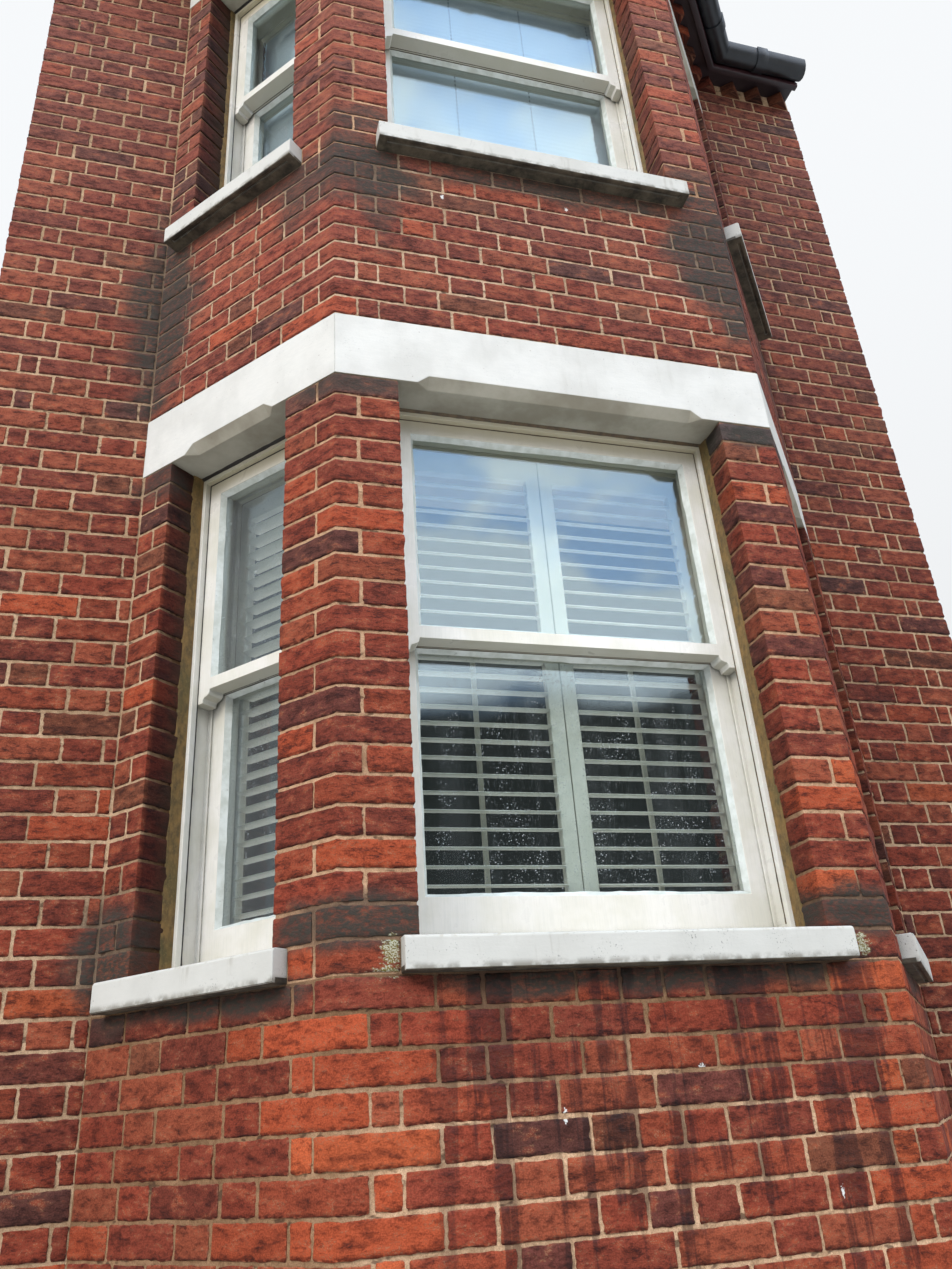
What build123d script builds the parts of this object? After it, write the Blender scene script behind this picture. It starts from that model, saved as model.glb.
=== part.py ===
from build123d import *
import math
import os

os.makedirs("parts", exist_ok=True)

# ---------------------------------------------------------------------------
# Two-storey canted bay in Flemish-bond brick, painted stone dressings and
# timber sash windows.  Millimetres, +Z up, the front faces -Y.
# The origin is on the ground, in the middle of the overall plan.
# ---------------------------------------------------------------------------

# brickwork module
COURSE = 76.0            # one brick course with its bed joint
WALL_T = 229.0           # one-brick wall

# plan of the bay (outer faces)
FRONT_W = 1422.0         # front face, arris to arris
CANT_X = 542.0           # each canted side, across
BAY_D = 628.0            # each canted side, front to back
RETURN_W = 540.0         # house wall each side of the bay, to the middle of the gap between two bays
FRONT_OPEN = 1058.0      # window opening in the front face
CANT_PIER = 187.0        # masonry from the arris to the side window opening
CANT_OPEN = 509.0        # window opening in each canted side
REVEAL = 128.0           # brick reveal in front of the sash boxes
BOX_REBATE = 45.0        # sash boxes stand this far behind the brick jambs
HEAD_REBATE = 30.0       # and this far up behind the lintels

# heights, in courses above the ground
C_APRON = 24
C_SILL = 25
C_HEAD = 46
C_LINTEL = 49
C_SPANDREL = 59
C_SILL2 = 60
C_HEAD2 = 79
C_LINTEL2 = 82
C_EAVES = 83

# stone dressings
SILL_OUT = 48.0
SILL2_OUT = 61.0
SILL_HORN = 40.0         # built into the pier each side of the opening
SILL_HORN_WALL = 76.0    # the longer end next to the house wall
LINTEL_OUT = 4.0
CHAMFER = 30.0           # stopped chamfer under the lintels
CHAMFER_STOP = 60.0
CHAMFER_RUN = 38.0

# sash windows
BOX_STILE = 22.0         # what shows of the sash box inside the brick opening
BOX_HEAD = 21.0
BOX_SILL = 40.0
BOX_SILL_NOSE = 27.0     # the timber sill falls to this at its outer edge
LINING = 20.0            # outer lining in front of the top sash
SASH_T = 57.0
PARTING = 8.0
LAP = 11.0               # the sash edges run this far behind the lining
STILE_W = 59.0
TOP_RAIL = 59.0
MEET_RAIL = 38.0
BOTTOM_RAIL = 94.0
MEET_LOWER = 847.0       # middle of the meeting rails above the stone sill
MEET_UPPER = 836.0
GLASS_T = 4.0
GLASS_IN = 20.0          # glass behind the sash face
HORN_H = 39.0
BOX_D = LINING + 2 * SASH_T + PARTING + 20.0      # sash box, front to back

# joinery inside
SHUTTER_T = 28.0
SHUTTER_GAP = 3.0
LEAF_STILE = 44.0
LEAF_RAIL = 80.0
BLIND_T = 3.0
BOARD_T = 25.0

# floors
C_FLOOR = 16
FLOOR_T = 228.0
C_FLOOR2 = 51
FLOOR2_T = 228.0
CEILING_T = 76.0

# eaves and roof
SOFFIT_OUT = 88.0        # soffit past the wall face
SOFFIT_T = 20.0
FASCIA_T = 22.0
FASCIA_DOWN = 8.0        # fascia below and above the soffit level
FASCIA_UP = 60.0
MOULD_H = 22.0           # moulding under the fascia
FILL_T = 100.0           # beam filling on the wall head
GUTTER_W = 102.0
GUTTER_H = 80.0
GUTTER_T = 6.0
ROOF_PITCH = 40.0
ROOF_T = 45.0
ROOF_EDGE = 130.0        # edge of the covering past the wall face

OVERHANG = SOFFIT_OUT + FASCIA_T + GUTTER_W
Y_WALL = (OVERHANG + BAY_D - WALL_T) / 2.0      # outer plane of the house wall
Y_FRONT = Y_WALL - BAY_D                        # front face of the bay
Y_BACK = Y_WALL + WALL_T                        # plain cut at the back
X_A = FRONT_W / 2.0                             # arris
X_J = X_A + CANT_X                              # junction with the house wall
X_END = X_J + RETURN_W                          # plain end of the house wall

CANT_L = math.hypot(CANT_X, BAY_D)
TX, TY = CANT_X / CANT_L, BAY_D / CANT_L        # along the right cant, going back
NX, NY = -BAY_D / CANT_L, CANT_X / CANT_L       # into the right cant wall


def z(courses):
    return courses * COURSE


# ------------------------------------------------------------------ helpers

def polyhedron(verts, faces):
    made = [Face(Wire.make_polygon([Vector(*verts[i]) for i in f], close=True)) for f in faces]
    solid = Solid(Shell(made))
    if solid.volume < 0:
        solid = Solid(Shell([-f for f in made]))
    return solid


def prism(pts, z0, z1):
    """Upright prism over a plan polygon, between two levels."""
    n = len(pts)
    lo = [z0] * n if not isinstance(z0, (list, tuple)) else z0
    hi = [z1] * n if not isinstance(z1, (list, tuple)) else z1
    verts = [(p[0], p[1], a) for p, a in zip(pts, lo)] + [(p[0], p[1], b) for p, b in zip(pts, hi)]
    faces = [list(range(n))[::-1], [n + i for i in range(n)]]
    for i in range(n):
        j = (i + 1) % n
        faces.append([i, j, n + j, n + i])
    return polyhedron(verts, faces)


def mitred(path, off):
    """The plan path moved outwards (to the right of its direction) by off."""
    out = []
    for i, p in enumerate(path):
        segs = []
        if i > 0:
            segs.append((path[i - 1], p))
        if i < len(path) - 1:
            segs.append((p, path[i + 1]))
        ns = []
        for a, b in segs:
            dx, dy = b[0] - a[0], b[1] - a[1]
            l = math.hypot(dx, dy)
            ns.append((dy / l, -dx / l))
        if len(ns) == 1:
            nx, ny = ns[0]
            out.append((p[0] + nx * off, p[1] + ny * off))
        else:
            sx, sy = ns[0][0] + ns[1][0], ns[0][1] + ns[1][1]
            k = off * 2.0 / (sx * sx + sy * sy)
            out.append((p[0] + sx * k, p[1] + sy * k))
    return out


def run(path, profile, first=0, last=None):
    """One mitred solid: a closed profile of (outward, level) carried along a plan path,
    or along the stretch of it between two corners."""
    n = len(profile)
    verts = []
    cols = [mitred(path, d)[first:None if last is None else last + 1] for d, _ in profile]
    path = path[first:None if last is None else last + 1]
    for j in range(len(path)):
        for i in range(n):
            verts.append((cols[i][j][0], cols[i][j][1], profile[i][1]))
    faces = []
    for j in range(len(path) - 1):
        for i in range(n):
            k = (i + 1) % n
            faces.append([j * n + i, (j + 1) * n + i, (j + 1) * n + k, j * n + k])
    faces.append([i for i in range(n)][::-1])
    faces.append([(len(path) - 1) * n + i for i in range(n)])
    return polyhedron(verts, faces)


def fuse(*solids):
    out = solids[0]
    for s in solids[1:]:
        out = out + s
    out = out.clean()
    return out


def mirror_x(shape):
    return shape.mirror(Plane.YZ)


def both(solid):
    """A right-hand piece and its left-hand twin, as two solids of one node."""
    return [solid, mirror_x(solid)]


def save(name, solids):
    if not isinstance(solids, (list, tuple)):
        solids = [solids]
    flat = []
    for s in solids:
        flat.extend(s.solids())
    for s in flat:
        if not s.is_valid or s.volume <= 0:
            print("PROBLEM", name, s.is_valid, s.volume)
    shape = flat[0] if len(flat) == 1 else Compound(children=flat)
    shape.label = name
    export_step(shape, "parts/" + name + ".step")
    print("%-28s %2d solid(s) %.4f m3" % (name, len(flat), sum(s.volume for s in flat) / 1e9))


# ---------------------------------------------------------- local wall frames
# Each window wall has a frame: u along the face (to the right, seen from the
# outside), v into the wall, z up.

class WallFrame:
    def __init__(self, origin, along, inward):
        self.o, self.a, self.n = origin, along, inward

    def p(self, u, v):
        return (self.o[0] + self.a[0] * u + self.n[0] * v, self.o[1] + self.a[1] * u + self.n[1] * v)

    def box(self, u0, u1, v0, v1, z0, z1):
        return prism([self.p(u0, v0), self.p(u1, v0), self.p(u1, v1), self.p(u0, v1)], z0, z1)

    def outline(self, pts, v0, v1):
        """A solid from an outline of (u, z) in elevation, between two depths."""
        n = len(pts)
        verts = [(*self.p(u, v0), h) for u, h in pts] + [(*self.p(u, v1), h) for u, h in pts]
        faces = [list(range(n)), [n + i for i in range(n)][::-1]]
        for i in range(n):
            k = (i + 1) % n
            faces.append([i, n + i, n + k, k])
        return polyhedron(verts, faces)

    def section(self, pts, u0, u1):
        """A solid from a section of (v, z), carried along the wall."""
        n = len(pts)
        verts = [(*self.p(u0, v), h) for v, h in pts] + [(*self.p(u1, v), h) for v, h in pts]
        faces = [list(range(n)), [n + i for i in range(n)][::-1]]
        for i in range(n):
            k = (i + 1) % n
            faces.append([i, n + i, n + k, k])
        return polyhedron(verts, faces)


FRONT = WallFrame((0.0, Y_FRONT), (1.0, 0.0), (0.0, 1.0))
RIGHT = WallFrame((X_A, Y_FRONT), (TX, TY), (NX, NY))

UF0, UF1 = -FRONT_OPEN / 2.0, FRONT_OPEN / 2.0
US0, US1 = CANT_PIER, CANT_PIER + CANT_OPEN

# inner corners of the bay walls
# where the inner face of the front wall meets the inner face of the cant
_half = math.atan2(TY, TX)                     # turn of the arris
_in = WALL_T * math.tan(_half / 2.0)
P_ARRIS = (X_A, Y_FRONT)
P_ARRIS_IN = (X_A - _in, Y_FRONT + WALL_T)
P_JUNC = (X_J, Y_WALL)
P_BACK_IN = RIGHT.p(0, WALL_T)
_s = (Y_BACK - P_BACK_IN[1]) / TY
P_BACK_IN = (P_BACK_IN[0] + TX * _s, Y_BACK)   # inner corner on the cut plane

# --------------------------------------------------------------- brick walls

def front_wall(z0, z1):
    a, b = P_ARRIS, P_ARRIS_IN
    return prism([(-a[0], a[1]), (a[0], a[1]), (b[0], b[1]), (-b[0], b[1])], z0, z1)


U_IN0 = (P_ARRIS_IN[0] - X_A) * TX + (P_ARRIS_IN[1] - Y_FRONT) * TY   # inner corner, along the cant
END_V = RIGHT.p(CANT_L, WALL_T)


def side_wall(z0, z1):
    """Canted wall from the arris mitre to the house wall."""
    return prism([P_ARRIS, P_JUNC, END_V, P_ARRIS_IN], z0, z1)


def pier(z0, z1, u_front, u_side):
    """Corner pier between the front opening and the side opening (right-hand one)."""
    return prism([(u_front, Y_FRONT), P_ARRIS, RIGHT.p(u_side, 0), RIGHT.p(u_side, WALL_T), P_ARRIS_IN,
                  (u_front, Y_FRONT + WALL_T)], z0, z1)


def pier_node(c_bottom, c_top):
    base = pier(z(c_bottom), z(c_bottom + 1), UF1 + SILL_HORN, US0 - SILL_HORN)
    shaft = pier(z(c_bottom + 1), z(c_top), UF1, US0)
    # rebates for the sash boxes behind the half-brick reveals
    z0, z1 = z(c_bottom + 1), z(c_top)
    shaft = shaft - FRONT.box(UF1 - 1, UF1 + BOX_REBATE, REVEAL, WALL_T + 1, z0, z1 + 1)
    shaft = shaft - RIGHT.box(US0 - BOX_REBATE, US0 + 1, REVEAL, WALL_T + 1, z0, z1 + 1)
    return fuse(base, shaft)


save("apron_wall_front", front_wall(0, z(C_APRON)))
save("apron_wall_right", side_wall(0, z(C_APRON)))
save("apron_wall_left", mirror_x(side_wall(0, z(C_APRON))))
save("spandrel_wall_front", front_wall(z(C_LINTEL), z(C_SPANDREL)))
save("spandrel_wall_right", side_wall(z(C_LINTEL), z(C_SPANDREL)))
save("spandrel_wall_left", mirror_x(side_wall(z(C_LINTEL), z(C_SPANDREL))))

p1 = pier_node(C_APRON, C_HEAD)
save("pier_lower_right", p1)
save("pier_lower_left", mirror_x(p1))
p2 = pier_node(C_SPANDREL, C_HEAD2)
save("pier_upper_right", p2)
save("pier_upper_left", mirror_x(p2))

# house wall beside the bay, with the jambs of the side windows bonded into it
JAMB_OUT = RIGHT.p(US1, 0)
JAMB_IN = RIGHT.p(US1, WALL_T)
HORN_OUT = RIGHT.p(US1 + SILL_HORN_WALL, 0)
HORN_IN = RIGHT.p(US1 + SILL_HORN_WALL, WALL_T)


def return_plain(z0, z1):
    return prism([P_JUNC, (X_END, Y_WALL), (X_END, Y_BACK), P_BACK_IN, END_V], z0, z1)


def return_jamb(z0, z1, a, b):
    return prism([a, P_JUNC, END_V, b], z0, z1)


ret = fuse(
    return_plain(0, z(C_LINTEL2)),
    return_jamb(z(C_APRON), z(C_SILL), HORN_OUT, HORN_IN),
    return_jamb(z(C_SILL), z(C_HEAD), JAMB_OUT, JAMB_IN),
    return_jamb(z(C_SPANDREL), z(C_SILL2), HORN_OUT, HORN_IN),
    return_jamb(z(C_SILL2), z(C_HEAD2), JAMB_OUT, JAMB_IN),
)
for c0, c1 in ((C_SILL, C_HEAD), (C_SILL2, C_HEAD2)):
    ret = ret - RIGHT.box(US1 - 1, US1 + BOX_REBATE, REVEAL, WALL_T + 1, z(c0), z(c1))
save("house_wall_right", ret)
save("house_wall_left", mirror_x(ret))

# ------------------------------------------------------------- stone dressings

def sill(frame, u0, u1, out, z0, z1):
    """Stone sill: nearly flat top, rounded nose and arrises, drip groove under the nose."""
    r = 9.0
    prof = [(-out, z0 + 3), (-out + 3, z0), (WALL_T, z0), (WALL_T, z1), (-out + r, z1), (-out + 0.3 * r, z1 - 0.3 * r), (-out, z1 - r)]
    s = frame.section(prof, u0, u1)
    groove = frame.box(u0 + 30, u1 - 30, -out + 14, -out + 24, z0 - 1, z0 + 7)
    return s - groove


for storey, c0, c1, out in (("lower", C_APRON, C_SILL, SILL_OUT), ("upper", C_SPANDREL, C_SILL2, SILL2_OUT)):
    save("sills_%s" % storey,
         [sill(FRONT, UF0 - SILL_HORN, UF1 + SILL_HORN, out, z(c0), z(c1))]
         + both(sill(RIGHT, US0 - SILL_HORN, US1 + SILL_HORN_WALL, out, z(c0), z(c1))))


def chamfer_cut(frame, u0, u1, z0):
    """Wedge that cuts the stopped chamfer from the front lower edge of a lintel."""
    a, b = u0 + CHAMFER_STOP, u1 - CHAMFER_STOP
    c = CHAMFER
    o = LINTEL_OUT
    e = 0.0
    # ends of the full chamfer and of its stops, on the soffit and on the face
    top = [(a + CHAMFER_RUN, -o - e, z0 + c), (b - CHAMFER_RUN, -o - e, z0 + c)]
    bot = [(a + CHAMFER_RUN, c - o, z0 - e), (b - CHAMFER_RUN, c - o, z0 - e)]
    tips = [(a, -o - e, z0 - e), (b, -o - e, z0 - e)]
    pts = tips[:1] + top + tips[1:] + bot
    verts = [(*frame.p(u, v), h) for u, v, h in pts]
    # 0 left tip, 1 top left, 2 top right, 3 right tip, 4 bottom left, 5 bottom right
    faces = [[0, 1, 2, 3], [0, 3, 5, 4], [1, 4, 5, 2], [0, 4, 1], [3, 2, 5]]
    return polyhedron(verts, faces)


def lintels(z0, z1):
    o = LINTEL_OUT
    m = mitred([(-X_J, Y_WALL), (-X_A, Y_FRONT), (X_A, Y_FRONT), (X_J, Y_WALL)], o)
    fl, fr = m[1], m[2]
    front = prism([fl, fr, P_ARRIS_IN, (-P_ARRIS_IN[0], P_ARRIS_IN[1])], z0, z1)
    front = front - chamfer_cut(FRONT, UF0, UF1, z0)
    front = front - FRONT.box(UF0 - BOX_REBATE, UF1 + BOX_REBATE, REVEAL, WALL_T + 1, z0 - 1, z0 + HEAD_REBATE)
    k = (Y_WALL - fr[1]) / TY
    wall_pt = (fr[0] + TX * k, Y_WALL)
    side = prism([fr, wall_pt, P_JUNC, END_V, P_ARRIS_IN], z0, z1)
    side = side - chamfer_cut(RIGHT, US0, US1, z0)
    side = side - RIGHT.box(US0 - BOX_REBATE, US1 + BOX_REBATE, REVEAL, WALL_T + 1, z0 - 1, z0 + HEAD_REBATE)
    return front, side


lf, ls = lintels(z(C_HEAD), z(C_LINTEL))
save("lintel_lower_front", lf)
save("lintels_lower_sides", both(ls))
lf2, ls2 = lintels(z(C_HEAD2), z(C_LINTEL2))
save("lintel_upper_front", lf2)
save("lintels_upper_sides", both(ls2))

# --------------------------------------------------------------- sash windows

def ring(frame, u0, u1, v0, v1, z0, z1, su, sz0, sz1):
    """A closed frame: outer size u0..u1 by z0..z1, members su, sz0 (bottom), sz1 (top)."""
    outer = frame.box(u0, u1, v0, v1, z0, z1)
    inner = frame.box(u0 + su, u1 - su, v0 - 1, v1 + 1, z0 + sz0, z1 - sz1)
    return outer - inner


HORN = [(0, 2), (STILE_W, 2), (STILE_W, 0), (58, -9), (53, -16), (45, -20), (38, -21.5), (34, -24.5), (32, -29),
        (31, -HORN_H), (0, -HORN_H)]


def horn(frame, u, side, v0, v1, level):
    """Shaped end of a top sash stile, below its meeting rail; side is +1 at the left stile."""
    pts = [(u + side * a, level + b) for a, b in HORN]
    if side < 0:
        pts = pts[::-1]
    return frame.outline(pts, v0, v1)


def window(frame, u0, u1, z0, z1, meet):
    """Sash box, top sash, bottom sash and their panes in one opening."""
    v0 = REVEAL
    box = ring(frame, u0 - BOX_REBATE, u1 + BOX_REBATE, v0, v0 + BOX_D, z0, z1 + HEAD_REBATE,
               BOX_REBATE + BOX_STILE, BOX_SILL, HEAD_REBATE + BOX_HEAD)
    # channels for the two sashes, with the parting bead left between them
    c0 = v0 + LINING
    for a, b in ((c0, c0 + SASH_T + 1), (c0 + SASH_T + PARTING - 1, c0 + 2 * SASH_T + PARTING + 1)):
        box = box - frame.box(u0 + BOX_STILE - LAP - 1, u1 - BOX_STILE + LAP + 1, a, b,
                              z0 + BOX_SILL, z1 - BOX_HEAD + LAP + 1)
    # weathering of the timber sill, in front of the bottom sash
    wedge = frame.section([(v0 - 1, z0 + BOX_SILL_NOSE), (c0 + SASH_T, z0 + BOX_SILL), (c0 + SASH_T, z0 + BOX_SILL + 1),
                           (v0 - 1, z0 + BOX_SILL + 1)], u0 + BOX_STILE, u1 - BOX_STILE)
    box = box - wedge
    su0, su1 = u0 + BOX_STILE - LAP, u1 - BOX_STILE + LAP
    top_z = z1 - BOX_HEAD + LAP
    bot_z = z0 + BOX_SILL + 1
    mid = z0 + meet
    t0, t1 = c0 + 1, c0 + SASH_T
    b0, b1 = c0 + SASH_T + PARTING, c0 + 2 * SASH_T + PARTING
    m0, m1 = mid - MEET_RAIL / 2, mid + MEET_RAIL / 2
    top = ring(frame, su0, su1, t0, t1, m0, top_z, STILE_W, MEET_RAIL, TOP_RAIL)
    top = fuse(top, frame.box(su0 + LAP + 2, su1 - LAP - 2, t1 - 1, b0 - 1, m0, m1),
               horn(frame, su0, 1, t0, t1, m0), horn(frame, su1, -1, t0, t1, m0))
    bot = ring(frame, su0, su1, b0, b1, bot_z, m1, STILE_W, BOTTOM_RAIL, MEET_RAIL)
    tm, bm = t0 + GLASS_IN, b0 + GLASS_IN
    g1 = frame.box(su0 + STILE_W, su1 - STILE_W, tm, tm + GLASS_T, m1, top_z - TOP_RAIL)
    g2 = frame.box(su0 + STILE_W, su1 - STILE_W, bm, bm + GLASS_T, bot_z + BOTTOM_RAIL, m0)
    return box, top, bot, g1, g2


panes = []
for storey, c0, c1, meet in (("ground", C_SILL, C_HEAD, MEET_LOWER), ("first", C_SILL2, C_HEAD2, MEET_UPPER)):
    fb, ft, fbt, fg1, fg2 = window(FRONT, UF0, UF1, z(c0), z(c1), meet)
    sb, st, sbt, sg1, sg2 = window(RIGHT, US0, US1, z(c0), z(c1), meet)
    save("sash_box_%s_front" % storey, fb)
    save("sash_boxes_%s_sides" % storey, both(sb))
    save("top_sashes_%s" % storey, [ft] + both(st))
    save("bottom_sashes_%s" % storey, [fbt] + both(sbt))
    panes.extend([fg1, fg2] + both(sg1) + both(sg2))
save("window_glass", panes)

# ------------------------------------------------------------- joinery inside
V_IN = REVEAL + BOX_D


def leaf(frame, u0, u1, z0, z1):
    """Shutter leaf: a frame of stiles and rails, and the field of louvres as a thinner panel in it."""
    v0 = V_IN + 1
    body = ring(frame, u0, u1, v0, v0 + SHUTTER_T, z0, z1, LEAF_STILE, LEAF_RAIL, LEAF_RAIL)
    field = frame.box(u0 + LEAF_STILE, u1 - LEAF_STILE, v0 + 8, v0 + SHUTTER_T - 8, z0 + LEAF_RAIL, z1 - LEAF_RAIL)
    return body, field


zg0, zg1 = z(C_SILL) + BOX_SILL + 6, z(C_HEAD) - 20
g = SHUTTER_GAP / 2
leaves = [leaf(FRONT, UF0 + 20, -g, zg0, zg1), leaf(FRONT, g, UF1 - 20, zg0, zg1)]
side_leaf = leaf(RIGHT, US0 + 20, US1 - 20, zg0, zg1)
save("shutter_frames_ground", [l[0] for l in leaves] + both(side_leaf[0]))
save("shutter_louvres_ground", [l[1] for l in leaves] + both(side_leaf[1]))

zb0, zb1 = z(C_SILL2) + BOX_SILL + 6, z(C_HEAD2) - 20


def blind(frame, u0, u1):
    return frame.box(u0, u1, V_IN + 6, V_IN + 6 + BLIND_T, zb0, zb1)


save("blinds_first", [blind(FRONT, UF0 + 30, UF1 - 30)] + both(blind(RIGHT, US0 + 30, US1 - 30)))

# window boards on the inner ledge of each opening
boards = []
for c in (C_SILL, C_SILL2):
    za, zb = z(c) + BOX_SILL - BOARD_T, z(c) + BOX_SILL
    boards.append(FRONT.box(UF0, UF1, V_IN, V_IN + 60, za, zb))
    boards.extend(both(RIGHT.box(US0 + 8, US1 - 8, V_IN, V_IN + 60, za, zb)))
save("window_boards", boards)

# --------------------------------------------------------------------- floors
room = [(-P_BACK_IN[0], Y_BACK), (-P_ARRIS_IN[0], P_ARRIS_IN[1]), (P_ARRIS_IN[0], P_ARRIS_IN[1]), (P_BACK_IN[0], Y_BACK)]
save("ground_floor", prism(room, z(C_FLOOR) - FLOOR_T, z(C_FLOOR)))
save("first_floor", prism(room, z(C_FLOOR2) - FLOOR2_T, z(C_FLOOR2)))
save("bay_ceiling", prism(room, z(C_LINTEL2), z(C_LINTEL2) + CEILING_T))

# ------------------------------------------------------------- eaves and roof
PATH = [(-X_END, Y_WALL), (-X_J, Y_WALL), (-X_A, Y_FRONT), (X_A, Y_FRONT), (X_J, Y_WALL), (X_END, Y_WALL)]

ZE = z(C_EAVES)
tan_p = math.tan(math.radians(ROOF_PITCH))
# backing of the dog-tooth course, right through the wall
inner = [(-X_END, Y_BACK), (-P_BACK_IN[0], Y_BACK), (-P_ARRIS_IN[0], P_ARRIS_IN[1]), (P_ARRIS_IN[0], P_ARRIS_IN[1]),
         (P_BACK_IN[0], Y_BACK), (X_END, Y_BACK)]
ring_pts = PATH + inner[::-1]
save("dogtooth_course", prism(ring_pts, z(C_LINTEL2), ZE))

# soffit board and fascia, mitred at every turn, with a moulding along the lower edge
FD = SOFFIT_OUT + FASCIA_T
za, zb = ZE - FASCIA_DOWN, ZE + FASCIA_UP
save("soffit", run(PATH, [(0.0, ZE), (SOFFIT_OUT, ZE), (SOFFIT_OUT, ZE + SOFFIT_T), (0.0, ZE + SOFFIT_T)]))
save("fascia", run(PATH, [(SOFFIT_OUT, za), (FD, za), (FD, zb), (SOFFIT_OUT, zb)]))
MOULD = [(SOFFIT_OUT - 4, za), (SOFFIT_OUT - 4, za - MOULD_H), (FD - 2, za - MOULD_H), (FD + 3, za - MOULD_H + 5),
         (FD + 4, za - MOULD_H + 11), (FD + 6, za - 4), (FD + 6, za)]
save("eaves_moulding", run(PATH, MOULD))

# beam filling on the wall head, up to the underside of the roof
under = zb                                        # underside of the roof at the outer top edge of the fascia
FILL = [(-FILL_T, ZE), (0.0, ZE), (0.0, under + FD * tan_p), (-FILL_T, under + (FD + FILL_T) * tan_p)]
save("eaves_filling", run(PATH, FILL))

# half-round gutter on the fascia
gz = ZE + 34.0
gr = GUTTER_W / 2.0
gb = GUTTER_H - 12.0
outer_arc, inner_arc = [], []
for k in range(0, 9):
    a = math.pi + math.pi * k / 8
    outer_arc.append((FD + gr + gr * math.cos(a), gz + gb * math.sin(a)))
    inner_arc.append((FD + gr + (gr - GUTTER_T) * math.cos(a), gz + (gb - GUTTER_T) * math.sin(a)))
GUTTER = ([(FD, gz + 12)] + outer_arc + [(FD + 2 * gr, gz + 12), (FD + 2 * gr - GUTTER_T, gz + 12)] + inner_arc[::-1]
          + [(FD + GUTTER_T, gz + 12)])
save("gutter_bay_front", run(PATH, GUTTER, 2, 3))
save("gutters_bay_sides", [run(PATH, GUTTER, 1, 2), run(PATH, GUTTER, 3, 4)])
save("gutters_house_wall", [run(PATH, GUTTER, 0, 1), run(PATH, GUTTER, 4, 5)])

# roof slopes: three over the bay, and the first strip of the main roof each side
E = mitred(PATH, ROOF_EDGE)
tv = ROOF_T / math.cos(math.radians(ROOF_PITCH))
zr = under + tv - (ROOF_EDGE - FD) * tan_p        # top of the covering at its edge


def slope(pts, base, normal):
    """Roof slab rising inwards from the eaves line through base; normal points inwards in plan."""
    hi = [zr + ((p[0] - base[0]) * normal[0] + (p[1] - base[1]) * normal[1]) * tan_p for p in pts]
    return prism(pts, [h - tv for h in hi], hi)


h_back = (Y_BACK - E[3][1])                      # run of the front slope at the cut
# hip on the cut plane: equal distance from the front eaves and the side eaves
x_hip = E[3][0] + (h_back - (Y_BACK - E[3][1]) * NY) / NX
# valley on the cut plane
d_main = Y_BACK - E[4][1]
x_val = E[3][0] + (d_main - (Y_BACK - E[3][1]) * NY) / NX
save("roof_slope_front", slope([E[2], E[3], (x_hip, Y_BACK), (-x_hip, Y_BACK)], E[3], (0, 1)))
save("roof_slopes_sides", both(slope([E[3], E[4], (x_val, Y_BACK), (x_hip, Y_BACK)], E[3], (NX, NY))))
save("main_roof_slopes", both(slope([E[4], E[5], (X_END, Y_BACK), (x_val, Y_BACK)], E[4], (0, 1))))

print("front face Y", Y_FRONT, "wall Y", Y_WALL, "back Y", Y_BACK, "X_J", X_J, "X_END", X_END)
print("inner arris", P_ARRIS_IN, "inner back", P_BACK_IN, "cant length", CANT_L)
print("hip on cut", x_hip, "valley on cut", x_val, "roof top", zr + h_back * tan_p)
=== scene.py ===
import math

import bmesh
import bpy
import numpy as np
from mathutils import Matrix, Vector


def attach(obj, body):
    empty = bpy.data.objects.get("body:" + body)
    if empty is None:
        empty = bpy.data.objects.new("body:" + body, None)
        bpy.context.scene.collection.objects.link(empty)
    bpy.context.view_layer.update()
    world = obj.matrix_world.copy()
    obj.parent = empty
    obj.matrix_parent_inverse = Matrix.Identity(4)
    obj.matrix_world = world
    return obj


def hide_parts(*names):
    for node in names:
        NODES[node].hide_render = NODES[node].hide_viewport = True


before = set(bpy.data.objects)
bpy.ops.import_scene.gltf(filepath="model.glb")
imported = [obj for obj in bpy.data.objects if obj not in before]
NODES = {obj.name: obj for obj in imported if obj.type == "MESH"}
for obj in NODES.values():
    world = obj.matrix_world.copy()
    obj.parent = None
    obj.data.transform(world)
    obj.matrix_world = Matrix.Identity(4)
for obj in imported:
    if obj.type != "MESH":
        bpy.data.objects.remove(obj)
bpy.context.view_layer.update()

# ------------------------------------------------------------------ dimensions
# millimetres, as in the solids: +Z up, the front faces -Y
COURSE = 76.0
X_A, X_J, X_END = 711.0, 1253.0, 1793.0
Y_FRONT, Y_WALL, Y_BACK = -322.5, 305.5, 534.5
CL = math.hypot(542.0, 628.0)
TX, TY = 542.0 / CL, 628.0 / CL
US0, US1 = 187.0, 696.0
UF1 = 529.0
Z_SILL, Z_HEAD = 25 * COURSE, 46 * COURSE
Z_SILL2, Z_HEAD2 = 60 * COURSE, 79 * COURSE
ZE = 83 * COURSE
PATH = [(-X_END, Y_WALL), (-X_J, Y_WALL), (-X_A, Y_FRONT), (X_A, Y_FRONT), (X_J, Y_WALL), (X_END, Y_WALL)]


class WallFrame:
    """u along the wall seen from outside, v into the wall, z up."""

    def __init__(self, origin, along, inward, flip=1):
        self.o, self.a, self.n, self.flip = np.array(origin), np.array(along), np.array(inward), flip

    def p(self, u, v, z):
        q = self.o + self.a * u + self.n * v
        return (q[0] * 0.001, q[1] * 0.001, z * 0.001)


FRONT = WallFrame((0.0, Y_FRONT), (1.0, 0.0), (0.0, 1.0))
RIGHT = WallFrame((X_A, Y_FRONT), (TX, TY), (-TY, TX))
LEFT = WallFrame((-X_A, Y_FRONT), (-TX, TY), (TY, TX), -1)
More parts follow.
